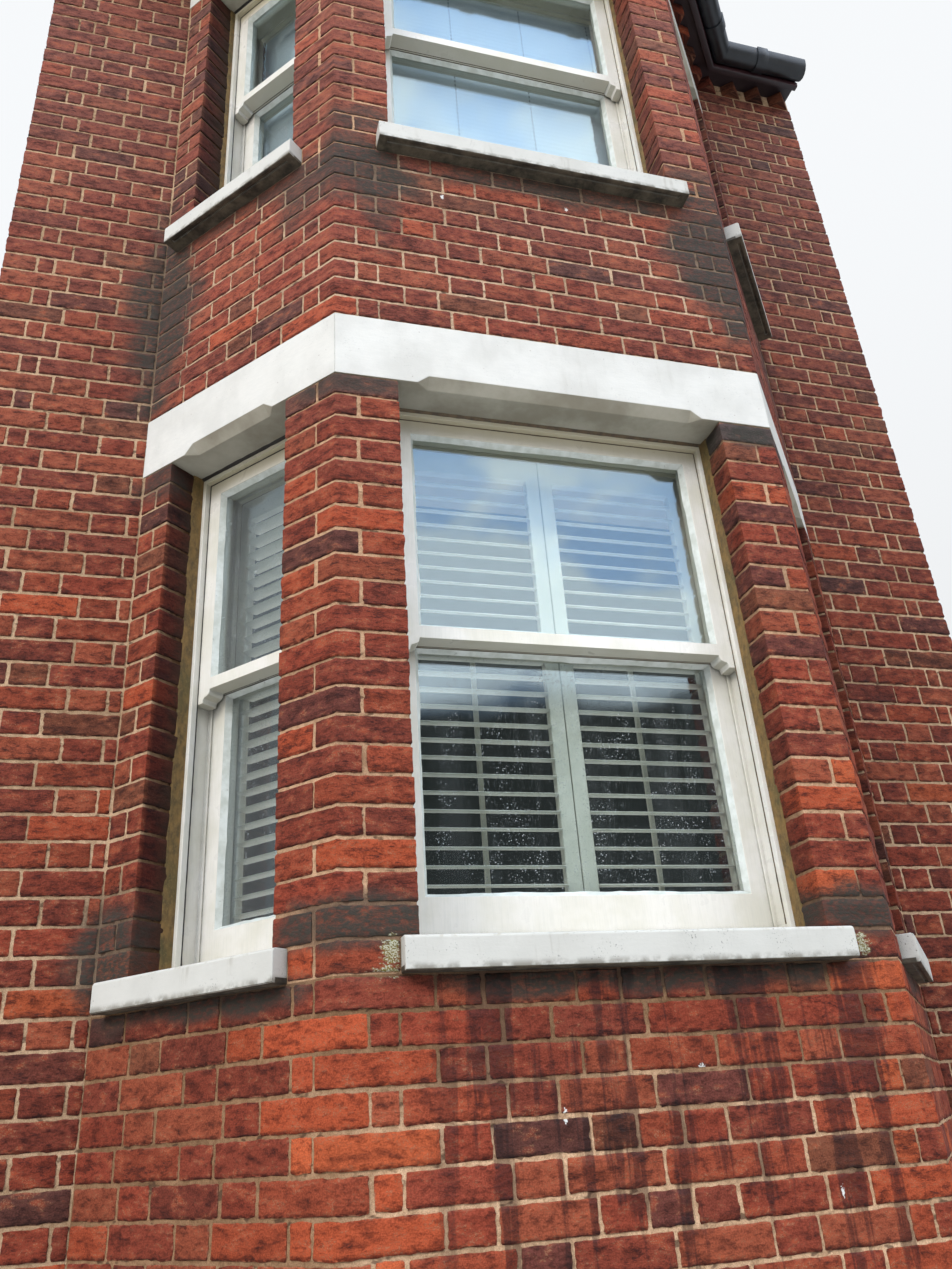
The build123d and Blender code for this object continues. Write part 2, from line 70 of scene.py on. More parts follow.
# every window: wall frame, opening in u, opening in z, middle of the meeting rails above the stone sill
WINDOWS = [(f, a, b, z0, z1, m) for z0, z1, m in ((Z_SILL, Z_HEAD, 847.0), (Z_SILL2, Z_HEAD2, 836.0))
           for f, a, b in ((FRONT, -UF1, UF1), (RIGHT, US0, US1), (LEFT, US0, US1))]


def lin(r, g, b, a=1.0):
    """Linear colour of a 0-255 screen colour."""
    out = []
    for c in (r, g, b):
        c /= 255.0
        out.append(c / 12.92 if c <= 0.04045 else ((c + 0.055) / 1.055) ** 2.4)
    return (*out, a)


# -------------------------------------------------------------- shader building

class Shade:
    """A node material with short calls for the nodes that it needs."""

    def __init__(self, name, rough=0.6, **sockets):
        self.m = bpy.data.materials.new(name)
        self.m.use_nodes = True
        self.t = self.m.node_tree
        self.t.nodes.clear()
        self.out = self.t.nodes.new("ShaderNodeOutputMaterial")
        self.b = self.t.nodes.new("ShaderNodeBsdfPrincipled")
        self.t.links.new(self.b.outputs[0], self.out.inputs["Surface"])
        self.b.inputs["Roughness"].default_value = rough
        for k, v in sockets.items():
            self.b.inputs[k.replace("_", " ")].default_value = v
        self.co = None

    def put(self, socket, value):
        if isinstance(value, bpy.types.NodeSocket):
            self.t.links.new(value, socket)
        elif value is not None:
            if hasattr(socket.default_value, "__len__") and not hasattr(value, "__len__"):
                value = [value] * len(socket.default_value)
            if hasattr(value, "__len__"):
                value = list(value)[:len(socket.default_value)]
            socket.default_value = value

    def node(self, kind, **props):
        n = self.t.nodes.new(kind)
        for k, v in props.items():
            setattr(n, k, v)
        return n

    def pos(self):
        if self.co is None:
            self.co = self.node("ShaderNodeTexCoord").outputs["Object"]
        return self.co

    def attr(self, name, what="Color"):
        n = self.node("ShaderNodeAttribute", attribute_name=name)
        return n.outputs[what]

    def sep(self, v):
        n = self.node("ShaderNodeSeparateXYZ")
        self.put(n.inputs[0], v)
        return n.outputs[0], n.outputs[1], n.outputs[2]

    def xyz(self, x, y, z):
        n = self.node("ShaderNodeCombineXYZ")
        for s, v in zip(n.inputs, (x, y, z)):
            self.put(s, v)
        return n.outputs[0]

    def op(self, kind, a, b=None, c=None, clamp=False):
        n = self.node("ShaderNodeMath", operation=kind, use_clamp=clamp)
        self.put(n.inputs[0], a)
        if b is not None:
            self.put(n.inputs[1], b)
        if c is not None:
            self.put(n.inputs[2], c)
        return n.outputs[0]

    def vec(self, kind, a, b=None, scale=None):
        n = self.node("ShaderNodeVectorMath", operation=kind)
        self.put(n.inputs[0], a)
        if b is not None:
            self.put(n.inputs[1], b)
        if scale is not None:
            self.put(n.inputs["Scale"], scale)
        return n.outputs["Value"] if kind in ("LENGTH", "DISTANCE", "DOT_PRODUCT") else n.outputs[0]

    def mix(self, f, a, b, blend="MIX"):
        n = self.node("ShaderNodeMix", data_type="RGBA", blend_type=blend, clamp_factor=True)
        self.put(n.inputs[0], f)
        self.put(n.inputs[6], a)
        self.put(n.inputs[7], b)
        return n.outputs[2]

    def noise(self, v, scale, detail=3.0, rough=0.55, distort=0.0, dims="3D", w=None):
        n = self.node("ShaderNodeTexNoise", noise_dimensions=dims)
        if dims != "1D":
            self.put(n.inputs["Vector"], v)
        if w is not None:
            self.put(n.inputs["W"], w)
        for k, val in (("Scale", scale), ("Detail", detail), ("Roughness", rough), ("Distortion", distort)):
            self.put(n.inputs[k], val)
        return n.outputs[0]

    def vor(self, v, scale, feature="F1", rand=1.0, out="Distance"):
        n = self.node("ShaderNodeTexVoronoi", feature=feature)
        self.put(n.inputs["Vector"], v)
        self.put(n.inputs["Scale"], scale)
        self.put(n.inputs["Randomness"], rand)
        return n.outputs[out]

    def step(self, v, a, b, lo=0.0, hi=1.0, smooth=True):
        """v from a to b becomes lo to hi."""
        n = self.node("ShaderNodeMapRange", interpolation_type="SMOOTHSTEP" if smooth else "LINEAR", clamp=True)
        for s, val in zip(n.inputs, (v, a, b, lo, hi)):
            self.put(s, val)
        return n.outputs[0]

    def ramp(self, v, stops):
        n = self.node("ShaderNodeValToRGB")
        e = n.color_ramp.elements
        while len(e) < len(stops):
            e.new(0.5)
        for el, (p, c) in zip(e, stops):
            el.position = p
            el.color = c if hasattr(c, "__len__") else (c, c, c, 1)
        self.put(n.inputs[0], v)
        return n.outputs[0]

    def bump(self, h, strength=1.0, dist=0.001, normal=None):
        n = self.node("ShaderNodeBump")
        n.inputs["Strength"].default_value = strength
        n.inputs["Distance"].default_value = dist
        self.put(n.inputs["Height"], h)
        if normal is not None:
            self.put(n.inputs["Normal"], normal)
        return n.outputs[0]

    def normal_z(self):
        return self.sep(self.node("ShaderNodeNewGeometry").outputs["Normal"])[2]

    def ao(self, dist, samples=3):
        n = self.node("ShaderNodeAmbientOcclusion", samples=samples)
        n.inputs["Distance"].default_value = dist
        return n.outputs["AO"]

    def blob(self, c, r, ragged=None):
        """1 at the middle of an ellipsoid, falling to 0 at its edge."""
        d = self.vec("DIVIDE", self.vec("SUBTRACT", self.pos(), c), r)
        l = self.vec("LENGTH", d)
        if ragged is not None:
            l = self.op("ADD", l, ragged)
        return self.step(l, 1.15, 0.55)

    def done(self, colour=None, rough=None, normal=None):
        if colour is not None:
            self.put(self.b.inputs["Base Color"], colour)
        if rough is not None:
            self.put(self.b.inputs["Roughness"], rough)
        if normal is not None:
            self.put(self.b.inputs["Normal"], normal)
        return self.m


# soot, damp and run-off on the walls, and painted shadow in the bands under the sills, as (middle, half sizes,
# strength), metres
SOOT_AND_SHADOW = [
    ((-1.235, 0.28, 4.20), (0.16, 0.22, 0.52), 1.0),
    ((0.68, -0.33, 4.26), (0.23, 0.16, 0.46), 1.0),
    ((-0.62, -0.33, 4.40), (0.20, 0.14, 0.20), 1.0),
    ((-0.80, -0.24, 4.36), (0.17, 0.14, 0.20), 0.8),
    ((-0.64, -0.33, 4.62), (0.12, 0.14, 0.09), 0.8),
    ((-0.56, -0.33, 4.20), (0.08, 0.10, 0.16), 0.7),
    ((1.16, 0.20, 4.30), (0.14, 0.22, 0.34), 0.7),
    ((0.62, -0.28, 3.455), (0.17, 0.20, 0.062), 1.0),
    ((-0.66, -0.30, 3.475), (0.18, 0.16, 0.045), 0.8),
    ((0.62, -0.30, 1.945), (0.18, 0.2, 0.075), 1.0),
    ((-0.66, -0.30, 1.945), (0.22, 0.2, 0.070), 1.0),
    ((-1.22, 0.26, 1.98), (0.14, 0.2, 0.18), 1.0),
    ((-1.19, 0.22, 3.44), (0.12, 0.12, 0.10), 0.8),
    # bands under the sills: soot with painted shadow
    ((0.0, -0.33, 4.46), (0.66, 0.1, 0.09), 0.9),
    ((0.0, -0.33, 1.816), (0.70, 0.1, 0.052), 1.0),
    ((-1.0, -0.02, 1.812), (0.32, 0.4, 0.045), 1.0),
    ((1.0, -0.02, 1.80), (0.32, 0.4, 0.05), 0.9),
    ((-1.0, -0.02, 4.46), (0.32, 0.4, 0.05), 0.7),
    ((1.0, -0.02, 4.46), (0.32, 0.4, 0.05), 0.7),
]


def wall_depth(s):
    """How far a point lies behind the outer faces of the walls, metres."""
    x, y, z = s.sep(s.pos())
    ax = s.op("ABSOLUTE", x)
    dc = s.op("ADD", s.op("MULTIPLY", s.op("ADD", ax, -X_A / 1000), -TY), s.op("MULTIPLY", s.op("ADD", y, -Y_FRONT / 1000), TX))
    bay = s.op("MINIMUM", s.op("ADD", y, -Y_FRONT / 1000), dc)
    return bay, s.op("MAXIMUM", bay, s.op("ADD", y, -Y_WALL / 1000)), ax


def reveal_mask(s):
    """The shaded, damper brickwork beside the windows."""
    bay, dep, ax = wall_depth(s)
    return s.op("MULTIPLY", s.step(dep, 0.004, 0.014), s.step(ax, 1.26, 1.24))


def soot_and_shadow_mask(s, z0, z1):
    """Node form for the coarse wall solids, with the spots between two heights."""
    ragged = s.op("MULTIPLY_ADD", s.noise(s.pos(), 9.0, 2.0, 0.6), 0.7, -0.35)
    total = None
    for c, r, k in SOOT_AND_SHADOW:
        if z0 < c[2] < z1:
            m = s.op("MULTIPLY", s.blob(c, r, ragged), k)
            total = m if total is None else s.op("MAXIMUM", total, m)
    return total


def streak_mask(s):
    """Run-off below the lower front sill: vertical streaks that thin out downwards."""
    x, y, z = s.sep(s.pos())
    n = s.noise(s.xyz(x, 0.0, s.op("MULTIPLY", z, 0.06)), 15.0, 4.0, 0.68)
    n = s.op("ADD", n, s.step(z, 0.45, 1.75, -0.14, 0.02, False))
    n = s.op("ADD", n, s.op("MULTIPLY_ADD", s.noise(s.pos(), 8.0, 2.0, 0.6), 0.30, -0.15))
    fall = s.op("MULTIPLY", s.step(z, 0.45, 1.0), s.step(z, 1.86, 1.83))
    near = s.step(s.op("ABSOLUTE", s.op("ADD", x, -0.08)), 0.66, 0.5)
    return s.op("MULTIPLY", s.op("MULTIPLY", s.step(n, 0.475, 0.565), fall), s.op("MULTIPLY", near, s.step(y, -0.28, -0.31)))


# old drips of white paint, as (middle, half sizes)
SPLASH = [((-1.70, 0.300, 1.20), (0.005, 0.02, 0.042)), ((-1.02, 0.03, 1.07), (0.005, 0.03, 0.030)),
          ((-1.13, 0.15, 0.86), (0.004, 0.03, 0.018)), ((0.12, -0.327, 1.60), (0.008, 0.02, 0.008)),
          ((-0.22, -0.327, 1.52), (0.005, 0.02, 0.012)), ((0.42, -0.327, 1.33), (0.004, 0.02, 0.012)),
          ((-0.35, -0.327, 4.31), (0.005, 0.02, 0.012)), ((0.10, -0.327, 4.36), (0.007, 0.02, 0.008))]


def splash_mask(s):
    ragged = s.op("MULTIPLY_ADD", s.noise(s.pos(), 170.0, 1.0, 0.6), 2.6, -1.3)
    total = None
    for c, r in SPLASH:
        m = s.blob(c, r, ragged)
        total = m if total is None else s.op("MAXIMUM", total, m)
    return s.op("MULTIPLY", total, 0.85)


# lichen beside the ends of the sills
LICHEN = [((-0.592, -0.325, 1.872), (0.024, 0.03, 0.040)), ((-0.600, -0.325, 1.828), (0.040, 0.03, 0.012)), ((-0.612, -0.325, 4.545), (0.022, 0.03, 0.034)),
          ((0.615, -0.325, 1.86), (0.022, 0.03, 0.03))]


def lichen_mask(s, coarse):
    ragged = s.op("MULTIPLY_ADD", coarse, 2.8, -1.4)
    total = None
    for c, r in LICHEN:
        m = s.blob(c, r, ragged)
        total = m if total is None else s.op("MAXIMUM", total, m)
    return s.op("MULTIPLY", total, 0.8)


def smooth(v, a, b):
    t = np.clip((v - a) / (b - a), 0.0, 1.0)
    return t * t * (3 - 2 * t)


def grain3(P, scale, seed=0):
    """Smooth value noise, 0 to 1, at points in metres."""
    q = P * scale + 100.0
    i = np.floor(q).astype(np.int64)
    f = q - i
    f = f * f * (3 - 2 * f)
    out = np.zeros(len(P))
    for dx in (0, 1):
        for dy in (0, 1):
            for dz in (0, 1):
                h = ((i[:, 0] + dx) * 73856093) ^ ((i[:, 1] + dy) * 19349663) ^ ((i[:, 2] + dz) * 83492791) ^ (seed * 2654435)
                h = (h ^ (h >> 13)) * 1274126177
                h = ((h ^ (h >> 16)) & 0xFFFF) / 65535.0
                w = np.where(dx, f[:, 0], 1 - f[:, 0]) * np.where(dy, f[:, 1], 1 - f[:, 1]) * np.where(dz, f[:, 2], 1 - f[:, 2])
                out += h * w
    return out


def fractal(P, scale, octaves=3, seed=0):
    total, amp, norm = 0.0, 1.0, 0.0
    for k in range(octaves):
        total = total + amp * grain3(P, scale * 2 ** k, seed + k)
        norm += amp
        amp *= 0.55
    return total / norm


def soot_and_painted_shade(P):
    """Soot with painted shadow under the sills, and painted shade in the reveals beside the windows, for brick points,
    metres.
    """
    ragged = fractal(P, 9.0, 3, 5) * 1.1 - 0.55
    soot_and_shadow = np.zeros(len(P))
    for c, r, k in SOOT_AND_SHADOW:
        l = np.sqrt((((P - np.array(c)) / np.array(r)) ** 2).sum(1)) + ragged
        soot_and_shadow = np.maximum(soot_and_shadow, k * smooth(l, 1.15, 0.55))
    x, y, z = P[:, 0], P[:, 1], P[:, 2]
    ax = np.abs(x)
    dc = (ax - X_A / 1000) * -TY + (y - Y_FRONT / 1000) * TX
    dep = np.maximum(np.minimum(y - Y_FRONT / 1000, dc), y - Y_WALL / 1000)
    # painted shade on the reveals, strongest beside the left window
    shade = smooth(dep, 0.004, 0.014) * smooth(ax, 1.26, 1.24) * np.where(x < -0.95, 1.0, 0.45)
    # painted shade that grows deeper into the reveals
    inner = smooth(dep, 0.03, 0.115) * smooth(ax, 1.26, 1.24) * np.where(x < -0.95, 1.0, 0.5)
    return np.c_[soot_and_shadow, inner, shade]


# -------------------------------------------------------------------- materials

def brick_material(name, drips=False):
    s = Shade(name, 0.85)
    s.b.inputs["Specular IOR Level"].default_value = 0.25
    col = s.attr("brick_col")
    seed, crease_amount, edge = s.sep(s.attr("brick_fx", "Vector"))
    loc = s.attr("brick_loc", "Vector")
    soot_and_shadow, inner, shade = s.sep(s.attr("brick_soot_and_shade", "Vector"))
    u, w, _ = s.sep(loc)
    p = s.vec("ADD", loc, s.xyz(s.op("MULTIPLY", seed, 13.0), s.op("MULTIPLY", seed, -29.0), s.op("MULTIPLY", seed, 41.0)))
    flat = s.vec("MULTIPLY", p, (1.0, 1.9, 1.0))
    patches = s.noise(flat, 19.0, 2.0, 0.62)
    mid = s.noise(flat, 56.0, 2.0, 0.65)
    grain = s.noise(p, 270.0, 1.0, 0.65)
    body = s.mix(s.step(patches, 0.50, 0.70, 0.0, 0.72), col, s.mix(1.0, col, lin(166, 156, 150), "MULTIPLY"))
    body = s.mix(s.step(patches, 0.45, 0.27, 0.0, 0.40), body, lin(182, 84, 48))
    body = s.mix(s.step(mid, 0.52, 0.68, 0.0, 0.55), body, s.mix(1.0, body, lin(152, 134, 124), "MULTIPLY"))
    body = s.mix(s.step(grain, 0.36, 0.64, 0.0, 0.50), body, s.mix(1.0, body, lin(158, 148, 140), "MULTIPLY"))
    # pressed folds: long level creases, gentle above and sharp below, in parts of a brick, drawn as painted shade: dark
    # crease lines and darker fold sides
    bent = s.vec("ADD", p, s.xyz(s.op("MULTIPLY", mid, 0.010), s.op("MULTIPLY", mid, -0.006), 0.0))
    n = s.noise(s.vec("MULTIPLY", bent, (0.40, 1.55, 1.0)), 44.0, 2.0, 0.6)
    fold_painted_shade = s.op("MULTIPLY", s.step(n, 0.43, 0.505), s.step(n, 0.535, 0.508))
    where = s.step(s.op("ADD", patches, s.op("MULTIPLY", crease_amount, 0.26)), 0.60, 0.76)
    # dark crease lines: painted shade in the creases
    crease = s.op("MULTIPLY", s.step(s.op("ABSOLUTE", s.op("ADD", n, -0.512)), 0.022, 0.003), where)
    body = s.mix(s.op("MULTIPLY", crease, 0.62), body, lin(58, 26, 23))
    fold_painted_shade = s.op("MULTIPLY", fold_painted_shade, where)
    # darker sides of the folds: painted shade
    body = s.mix(s.op("MULTIPLY", fold_painted_shade, 0.42), body, s.mix(1.0, body, lin(140, 120, 120), "MULTIPLY"))
    # burnt specks and pits, pale mortar dust, smeared rims, and lower edges darkened by dirt and painted shade
    specks = s.op("MULTIPLY", s.step(s.vor(p, 150.0), 0.17, 0.10), s.step(mid, 0.50, 0.62))
    body = s.mix(s.op("MULTIPLY", specks, 0.55), body, lin(50, 28, 26))
    dust = s.op("MULTIPLY", s.step(grain, 0.50, 0.64), s.step(patches, 0.48, 0.36))
    body = s.mix(s.op("MULTIPLY", dust, 0.26), body, lin(204, 152, 116))
    rim = s.op("MULTIPLY", s.step(edge, 0.30, 0.95), s.step(mid, 0.50, 0.38))
    body = s.mix(s.op("MULTIPLY", rim, 0.36), body, lin(168, 126, 98))
    # lower edges of the bricks: dirt with painted shade under each brick
    low = s.op("MULTIPLY", s.step(w, 0.011, 0.001), s.step(mid, 0.34, 0.54))
    body = s.mix(s.op("MULTIPLY", low, 0.70), body, s.mix(1.0, body, lin(108, 88, 82), "MULTIPLY"))
    # painted shade on the reveals beside the windows, darker still deeper in them
    body = s.mix(s.op("MULTIPLY", shade, 0.92), body, s.mix(1.0, body, lin(150, 132, 140), "MULTIPLY"))
    body = s.mix(s.op("MULTIPLY", inner, 0.72), body, lin(54, 43, 30))
    # soot, and painted shadow in the bands under the sills
    body = s.mix(s.op("MULTIPLY", soot_and_shadow, s.step(mid, 0.25, 0.62, 0.58, 0.98)), body, lin(57, 53, 46))
    rough = s.step(grain, 0.2, 0.8, 0.76, 0.93, False)
    if drips:
        wet = streak_mask(s)
        body = s.mix(s.op("MULTIPLY", wet, 0.80), body, s.mix(1.0, body, lin(140, 116, 110), "MULTIPLY"))
        rough = s.op("MULTIPLY_ADD", wet, -0.25, rough)
        tuft = lichen_mask(s, mid)
        body = s.mix(tuft, body, s.mix(s.step(grain, 0.44, 0.58), lin(112, 108, 52), lin(196, 196, 172)))
        body = s.mix(splash_mask(s), body, lin(226, 224, 216))
    h = s.op("MULTIPLY_ADD", mid, 1.0, s.op("MULTIPLY", grain, 0.16))
    return s.done(body, rough, s.bump(h, 0.95, 0.0026))


def mortar_material(name, light, dark, brown=0.0, heights=(0, 9), streaks=False):
    """Sandy lime mortar outside, plaster on the room side of the wall."""
    s = Shade(name, 0.95)
    s.b.inputs["Specular IOR Level"].default_value = 0.15
    p = s.pos()
    sand = s.noise(p, 420.0, 1.0, 0.7)
    lumps = s.noise(p, 60.0, 3.0, 0.65)
    big = s.noise(p, 3.2, 2.0, 0.6)
    c = s.mix(s.step(big, 0.38, 0.66), light, dark)
    c = s.mix(s.step(lumps, 0.35, 0.70, 0.0, 0.5), c, s.mix(1.0, c, lin(170, 156, 140), "MULTIPLY"))
    c = s.mix(s.step(sand, 0.3, 0.75, 0.0, 0.5), c, s.mix(1.0, c, lin(150, 138, 125), "MULTIPLY"))
    if brown:
        x, y, z = s.sep(p)
        where = s.op("MULTIPLY", s.step(s.op("ADD", x, s.op("MULTIPLY", big, 0.5)), -0.35, -0.62), brown)
        top = s.op("MULTIPLY", s.step(s.op("ADD", z, s.op("MULTIPLY", big, 0.3)), 1.62, 1.86), brown)
        c = s.mix(s.op("MAXIMUM", where, top), c, s.mix(1.0, c, lin(150, 132, 112), "MULTIPLY"))
    # soot, and painted shadow in the bands under the sills
    c = s.mix(s.op("MULTIPLY", soot_and_shadow_mask(s, *heights), 0.72), c, lin(66, 56, 50))
    if streaks:
        c = s.mix(s.op("MULTIPLY", streak_mask(s), 0.66), c, lin(84, 62, 50))
    cracks = s.step(s.noise(s.vec("MULTIPLY", p, (0.5, 0.5, 1.0)), 36.0, 2.0, 0.7), 0.40, 0.31)
    c = s.mix(s.op("MULTIPLY", cracks, 0.72), c, lin(62, 42, 33))
    # depth behind the outer faces of the walls decides what is plaster
    dep = wall_depth(s)[1]
    # mortar on the reveals beside the windows painted darker: painted shade
    beside = s.op("MULTIPLY", reveal_mask(s), s.step(s.sep(p)[0], -0.95, -1.0, 0.55, 1.0))
    c = s.mix(s.op("MULTIPLY", beside, s.step(dep, 0.004, 0.09, 0.55, 1.0, False)), c, s.mix(1.0, c, lin(118, 100, 82), "MULTIPLY"))
    inner = s.step(dep, 0.212, 0.224)
    skim = s.mix(s.step(big, 0.3, 0.7), lin(226, 220, 206), lin(206, 198, 182))
    c = s.mix(inner, c, skim)
    h = s.op("MULTIPLY_ADD", lumps, 1.0, s.op("MULTIPLY", sand, 0.4))
    h = s.op("MULTIPLY_ADD", cracks, -0.8, h)
    return s.done(c, None, s.bump(h, 0.8, 0.0020))


def stone_material():
    """Masonry paint on stone: white faces with drips and thin places, dark bare undersides of the sills."""
    s = Shade("painted_stone", 0.62)
    s.b.inputs["Specular IOR Level"].default_value = 0.35
    p = s.pos()
    x, y, z = s.sep(p)
    brush = s.noise(s.xyz(s.op("MULTIPLY", x, 0.22), s.op("MULTIPLY", y, 0.22), z), 120.0, 3.0, 0.6)
    cloud = s.noise(p, 5.5, 5.0, 0.6)
    c = s.mix(s.step(cloud, 0.34, 0.70), lin(221, 217, 208), lin(206, 202, 193))
    c = s.mix(s.step(brush, 0.35, 0.70, 0.0, 0.30), c, lin(208, 205, 196))
    run = s.noise(s.xyz(x, y, s.op("MULTIPLY", z, 0.10)), 38.0, 3.0, 0.6)
    runs = s.op("MULTIPLY", s.step(run, 0.56, 0.72), s.step(cloud, 0.40, 0.60))
    sill = s.op("MAXIMUM", s.step(z, 1.93, 1.91), s.op("MULTIPLY", s.step(z, 4.46, 4.48), s.step(z, 4.60, 4.58)))
    c = s.mix(s.op("MULTIPLY", sill, 0.40), c, lin(186, 183, 172))
    c = s.mix(s.op("MULTIPLY", runs, s.op("MULTIPLY_ADD", sill, 0.42, 0.10)), c, lin(160, 152, 136))
    foot = s.op("MULTIPLY", s.op("MAXIMUM", s.step(z, 1.846, 1.828), s.op("MULTIPLY", s.step(z, 4.46, 4.48), s.step(z, 4.506, 4.488))), s.step(s.noise(p, 26.0, 3.0, 0.6), 0.36, 0.60))
    c = s.mix(s.op("MULTIPLY", foot, 0.70), c, lin(104, 96, 80))
    mould = s.op("MULTIPLY", s.step(s.noise(p, 210.0, 2.0, 0.6), 0.60, 0.70), s.step(s.noise(p, 13.0, 2.0, 0.6), 0.47, 0.66))
    worn = s.op("MULTIPLY", s.op("MULTIPLY", s.step(z, 1.889, 1.897), s.step(z, 1.93, 1.91)), s.step(s.noise(p, 44.0, 3.0, 0.7), 0.56, 0.64))
    c = s.mix(s.op("MULTIPLY", worn, 0.55), c, lin(176, 166, 146))
    c = s.mix(s.op("MULTIPLY", s.op("MULTIPLY", mould, s.op("MULTIPLY_ADD", sill, 0.75, 0.25)), 0.75), c, lin(72, 68, 54))
    spots = s.op("MULTIPLY", s.step(s.vor(p, 55.0), 0.13, 0.05), s.step(s.noise(p, 16.0), 0.56, 0.66))
    c = s.mix(s.op("MULTIPLY", spots, 0.8), c, lin(120, 84, 66))
    # darker in the corners from ambient occlusion: dirt with painted shade
    corner = s.step(s.ao(0.03), 0.72, 0.36)
    c = s.mix(s.op("MULTIPLY", corner, s.step(s.noise(p, 24.0, 4.0), 0.30, 0.62, 0.25, 0.75)), c, lin(122, 114, 92))
    nz = s.normal_z()
    # undersides: sills are bare and sooty; lintel soffits and chamfers are painted grey as painted shade
    bay = wall_depth(s)[0]
    under = s.op("MAXIMUM", s.step(nz, -0.35, -0.60), s.step(bay, -0.040, -0.036))
    low = s.op("MULTIPLY", under, s.op("MAXIMUM",
               s.op("MULTIPLY", s.step(z, 1.790, 1.800), s.step(z, 1.838, 1.836)),
               s.op("MULTIPLY", s.step(z, 4.450, 4.460), s.step(z, 4.498, 4.496))))
    bare = s.mix(s.step(s.noise(p, 18.0, 5.0, 0.65), 0.32, 0.68), lin(50, 45, 37), lin(98, 88, 72))
    c = s.mix(low, c, bare)
    # lintel soffits and chamfers, facing down, painted darker grey: painted shade
    soffit = s.op("MULTIPLY", s.step(nz, -0.42, -0.60), s.op("SUBTRACT", 1.0, low))
    c = s.mix(s.op("MULTIPLY", soffit, 0.85), c, s.mix(s.step(cloud, 0.3, 0.7), lin(178, 170, 150), lin(138, 128, 106)))
    h = s.op("MULTIPLY_ADD", brush, 0.5, s.op("MULTIPLY", s.noise(p, 150.0, 3.0, 0.6), 0.5))
    h = s.op("MULTIPLY_ADD", cloud, 1.2, h)
    return s.done(c, s.step(cloud, 0.3, 0.7, 0.50, 0.70, False), s.bump(h, 0.5, 0.0012))


def timber_material(name="painted_timber", white=(241, 235, 224), corner_dirt_and_shade=0.8):
    s = Shade(name, 0.32)
    s.b.inputs["Specular IOR Level"].default_value = 0.5
    p = s.pos()
    x, y, z = s.sep(p)
    grain = s.noise(s.xyz(x, y, s.op("MULTIPLY", z, 0.06)), 240.0, 3.0, 0.6)
    cloud = s.noise(p, 7.0, 4.0, 0.6)
    c = s.mix(s.step(cloud, 0.32, 0.72), lin(*white), lin(white[0] - 14, white[1] - 14, white[2] - 20))
    c = s.mix(s.step(grain, 0.40, 0.75, 0.0, 0.16), c, lin(196, 194, 182))
    # darker in the corners from ambient occlusion: dirt with painted shade
    corner = s.step(s.ao(0.022), 0.66, 0.26)
    c = s.mix(s.op("MULTIPLY", s.op("MULTIPLY", corner, corner_dirt_and_shade), s.step(s.noise(p, 30.0, 4.0), 0.28, 0.66, 0.25, 0.9)), c, lin(128, 122, 92))
    marks = s.op("MULTIPLY", s.step(s.vor(p, 80.0), 0.10, 0.04), s.step(s.noise(p, 20.0), 0.58, 0.66))
    c = s.mix(s.op("MULTIPLY", marks, 0.7), c, lin(96, 84, 66))
    # faces turned down painted darker: painted shade
    under = s.step(s.normal_z(), -0.5, -0.85)
    c = s.mix(s.op("MULTIPLY", under, 0.62), c, lin(184, 175, 150))
    # painted shade and staining on the zone under the lintels
    head_stain_and_shade = s.op("MAXIMUM", s.op("MULTIPLY", s.step(z, Z_HEAD / 1000 - 0.085, Z_HEAD / 1000 - 0.03), s.step(z, Z_HEAD / 1000 + 0.03, Z_HEAD / 1000)),
                s.step(z, Z_HEAD2 / 1000 - 0.085, Z_HEAD2 / 1000 - 0.03))
    c = s.mix(s.op("MULTIPLY", head_stain_and_shade, 0.70), c, lin(204, 190, 154))
    h = s.op("MULTIPLY_ADD", grain, 0.25, s.op("MULTIPLY", s.noise(p, 45.0, 2.0), 0.8))
    return s.done(c, s.step(cloud, 0.3, 0.7, 0.24, 0.42, False), s.bump(h, 0.35, 0.0009))


def shutter_material():
    s = Shade("shutter_paint", 0.45)
    p = s.pos()
    cloud = s.noise(p, 9.0, 4.0, 0.6)
    c = s.mix(s.step(cloud, 0.3, 0.7), lin(226, 222, 208), lin(206, 203, 188))
    c = s.mix(s.step(s.noise(p, 110.0, 3.0, 0.6), 0.45, 0.75, 0.0, 0.22), c, lin(178, 182, 176))
    top = s.step(s.normal_z(), 0.3, 0.9)
    c = s.mix(s.op("MULTIPLY", top, 0.35), c, lin(170, 168, 158))
    return s.done(c, s.step(cloud, 0.3, 0.7, 0.36, 0.52, False), s.bump(s.noise(p, 200.0, 2.0), 0.2, 0.0005))


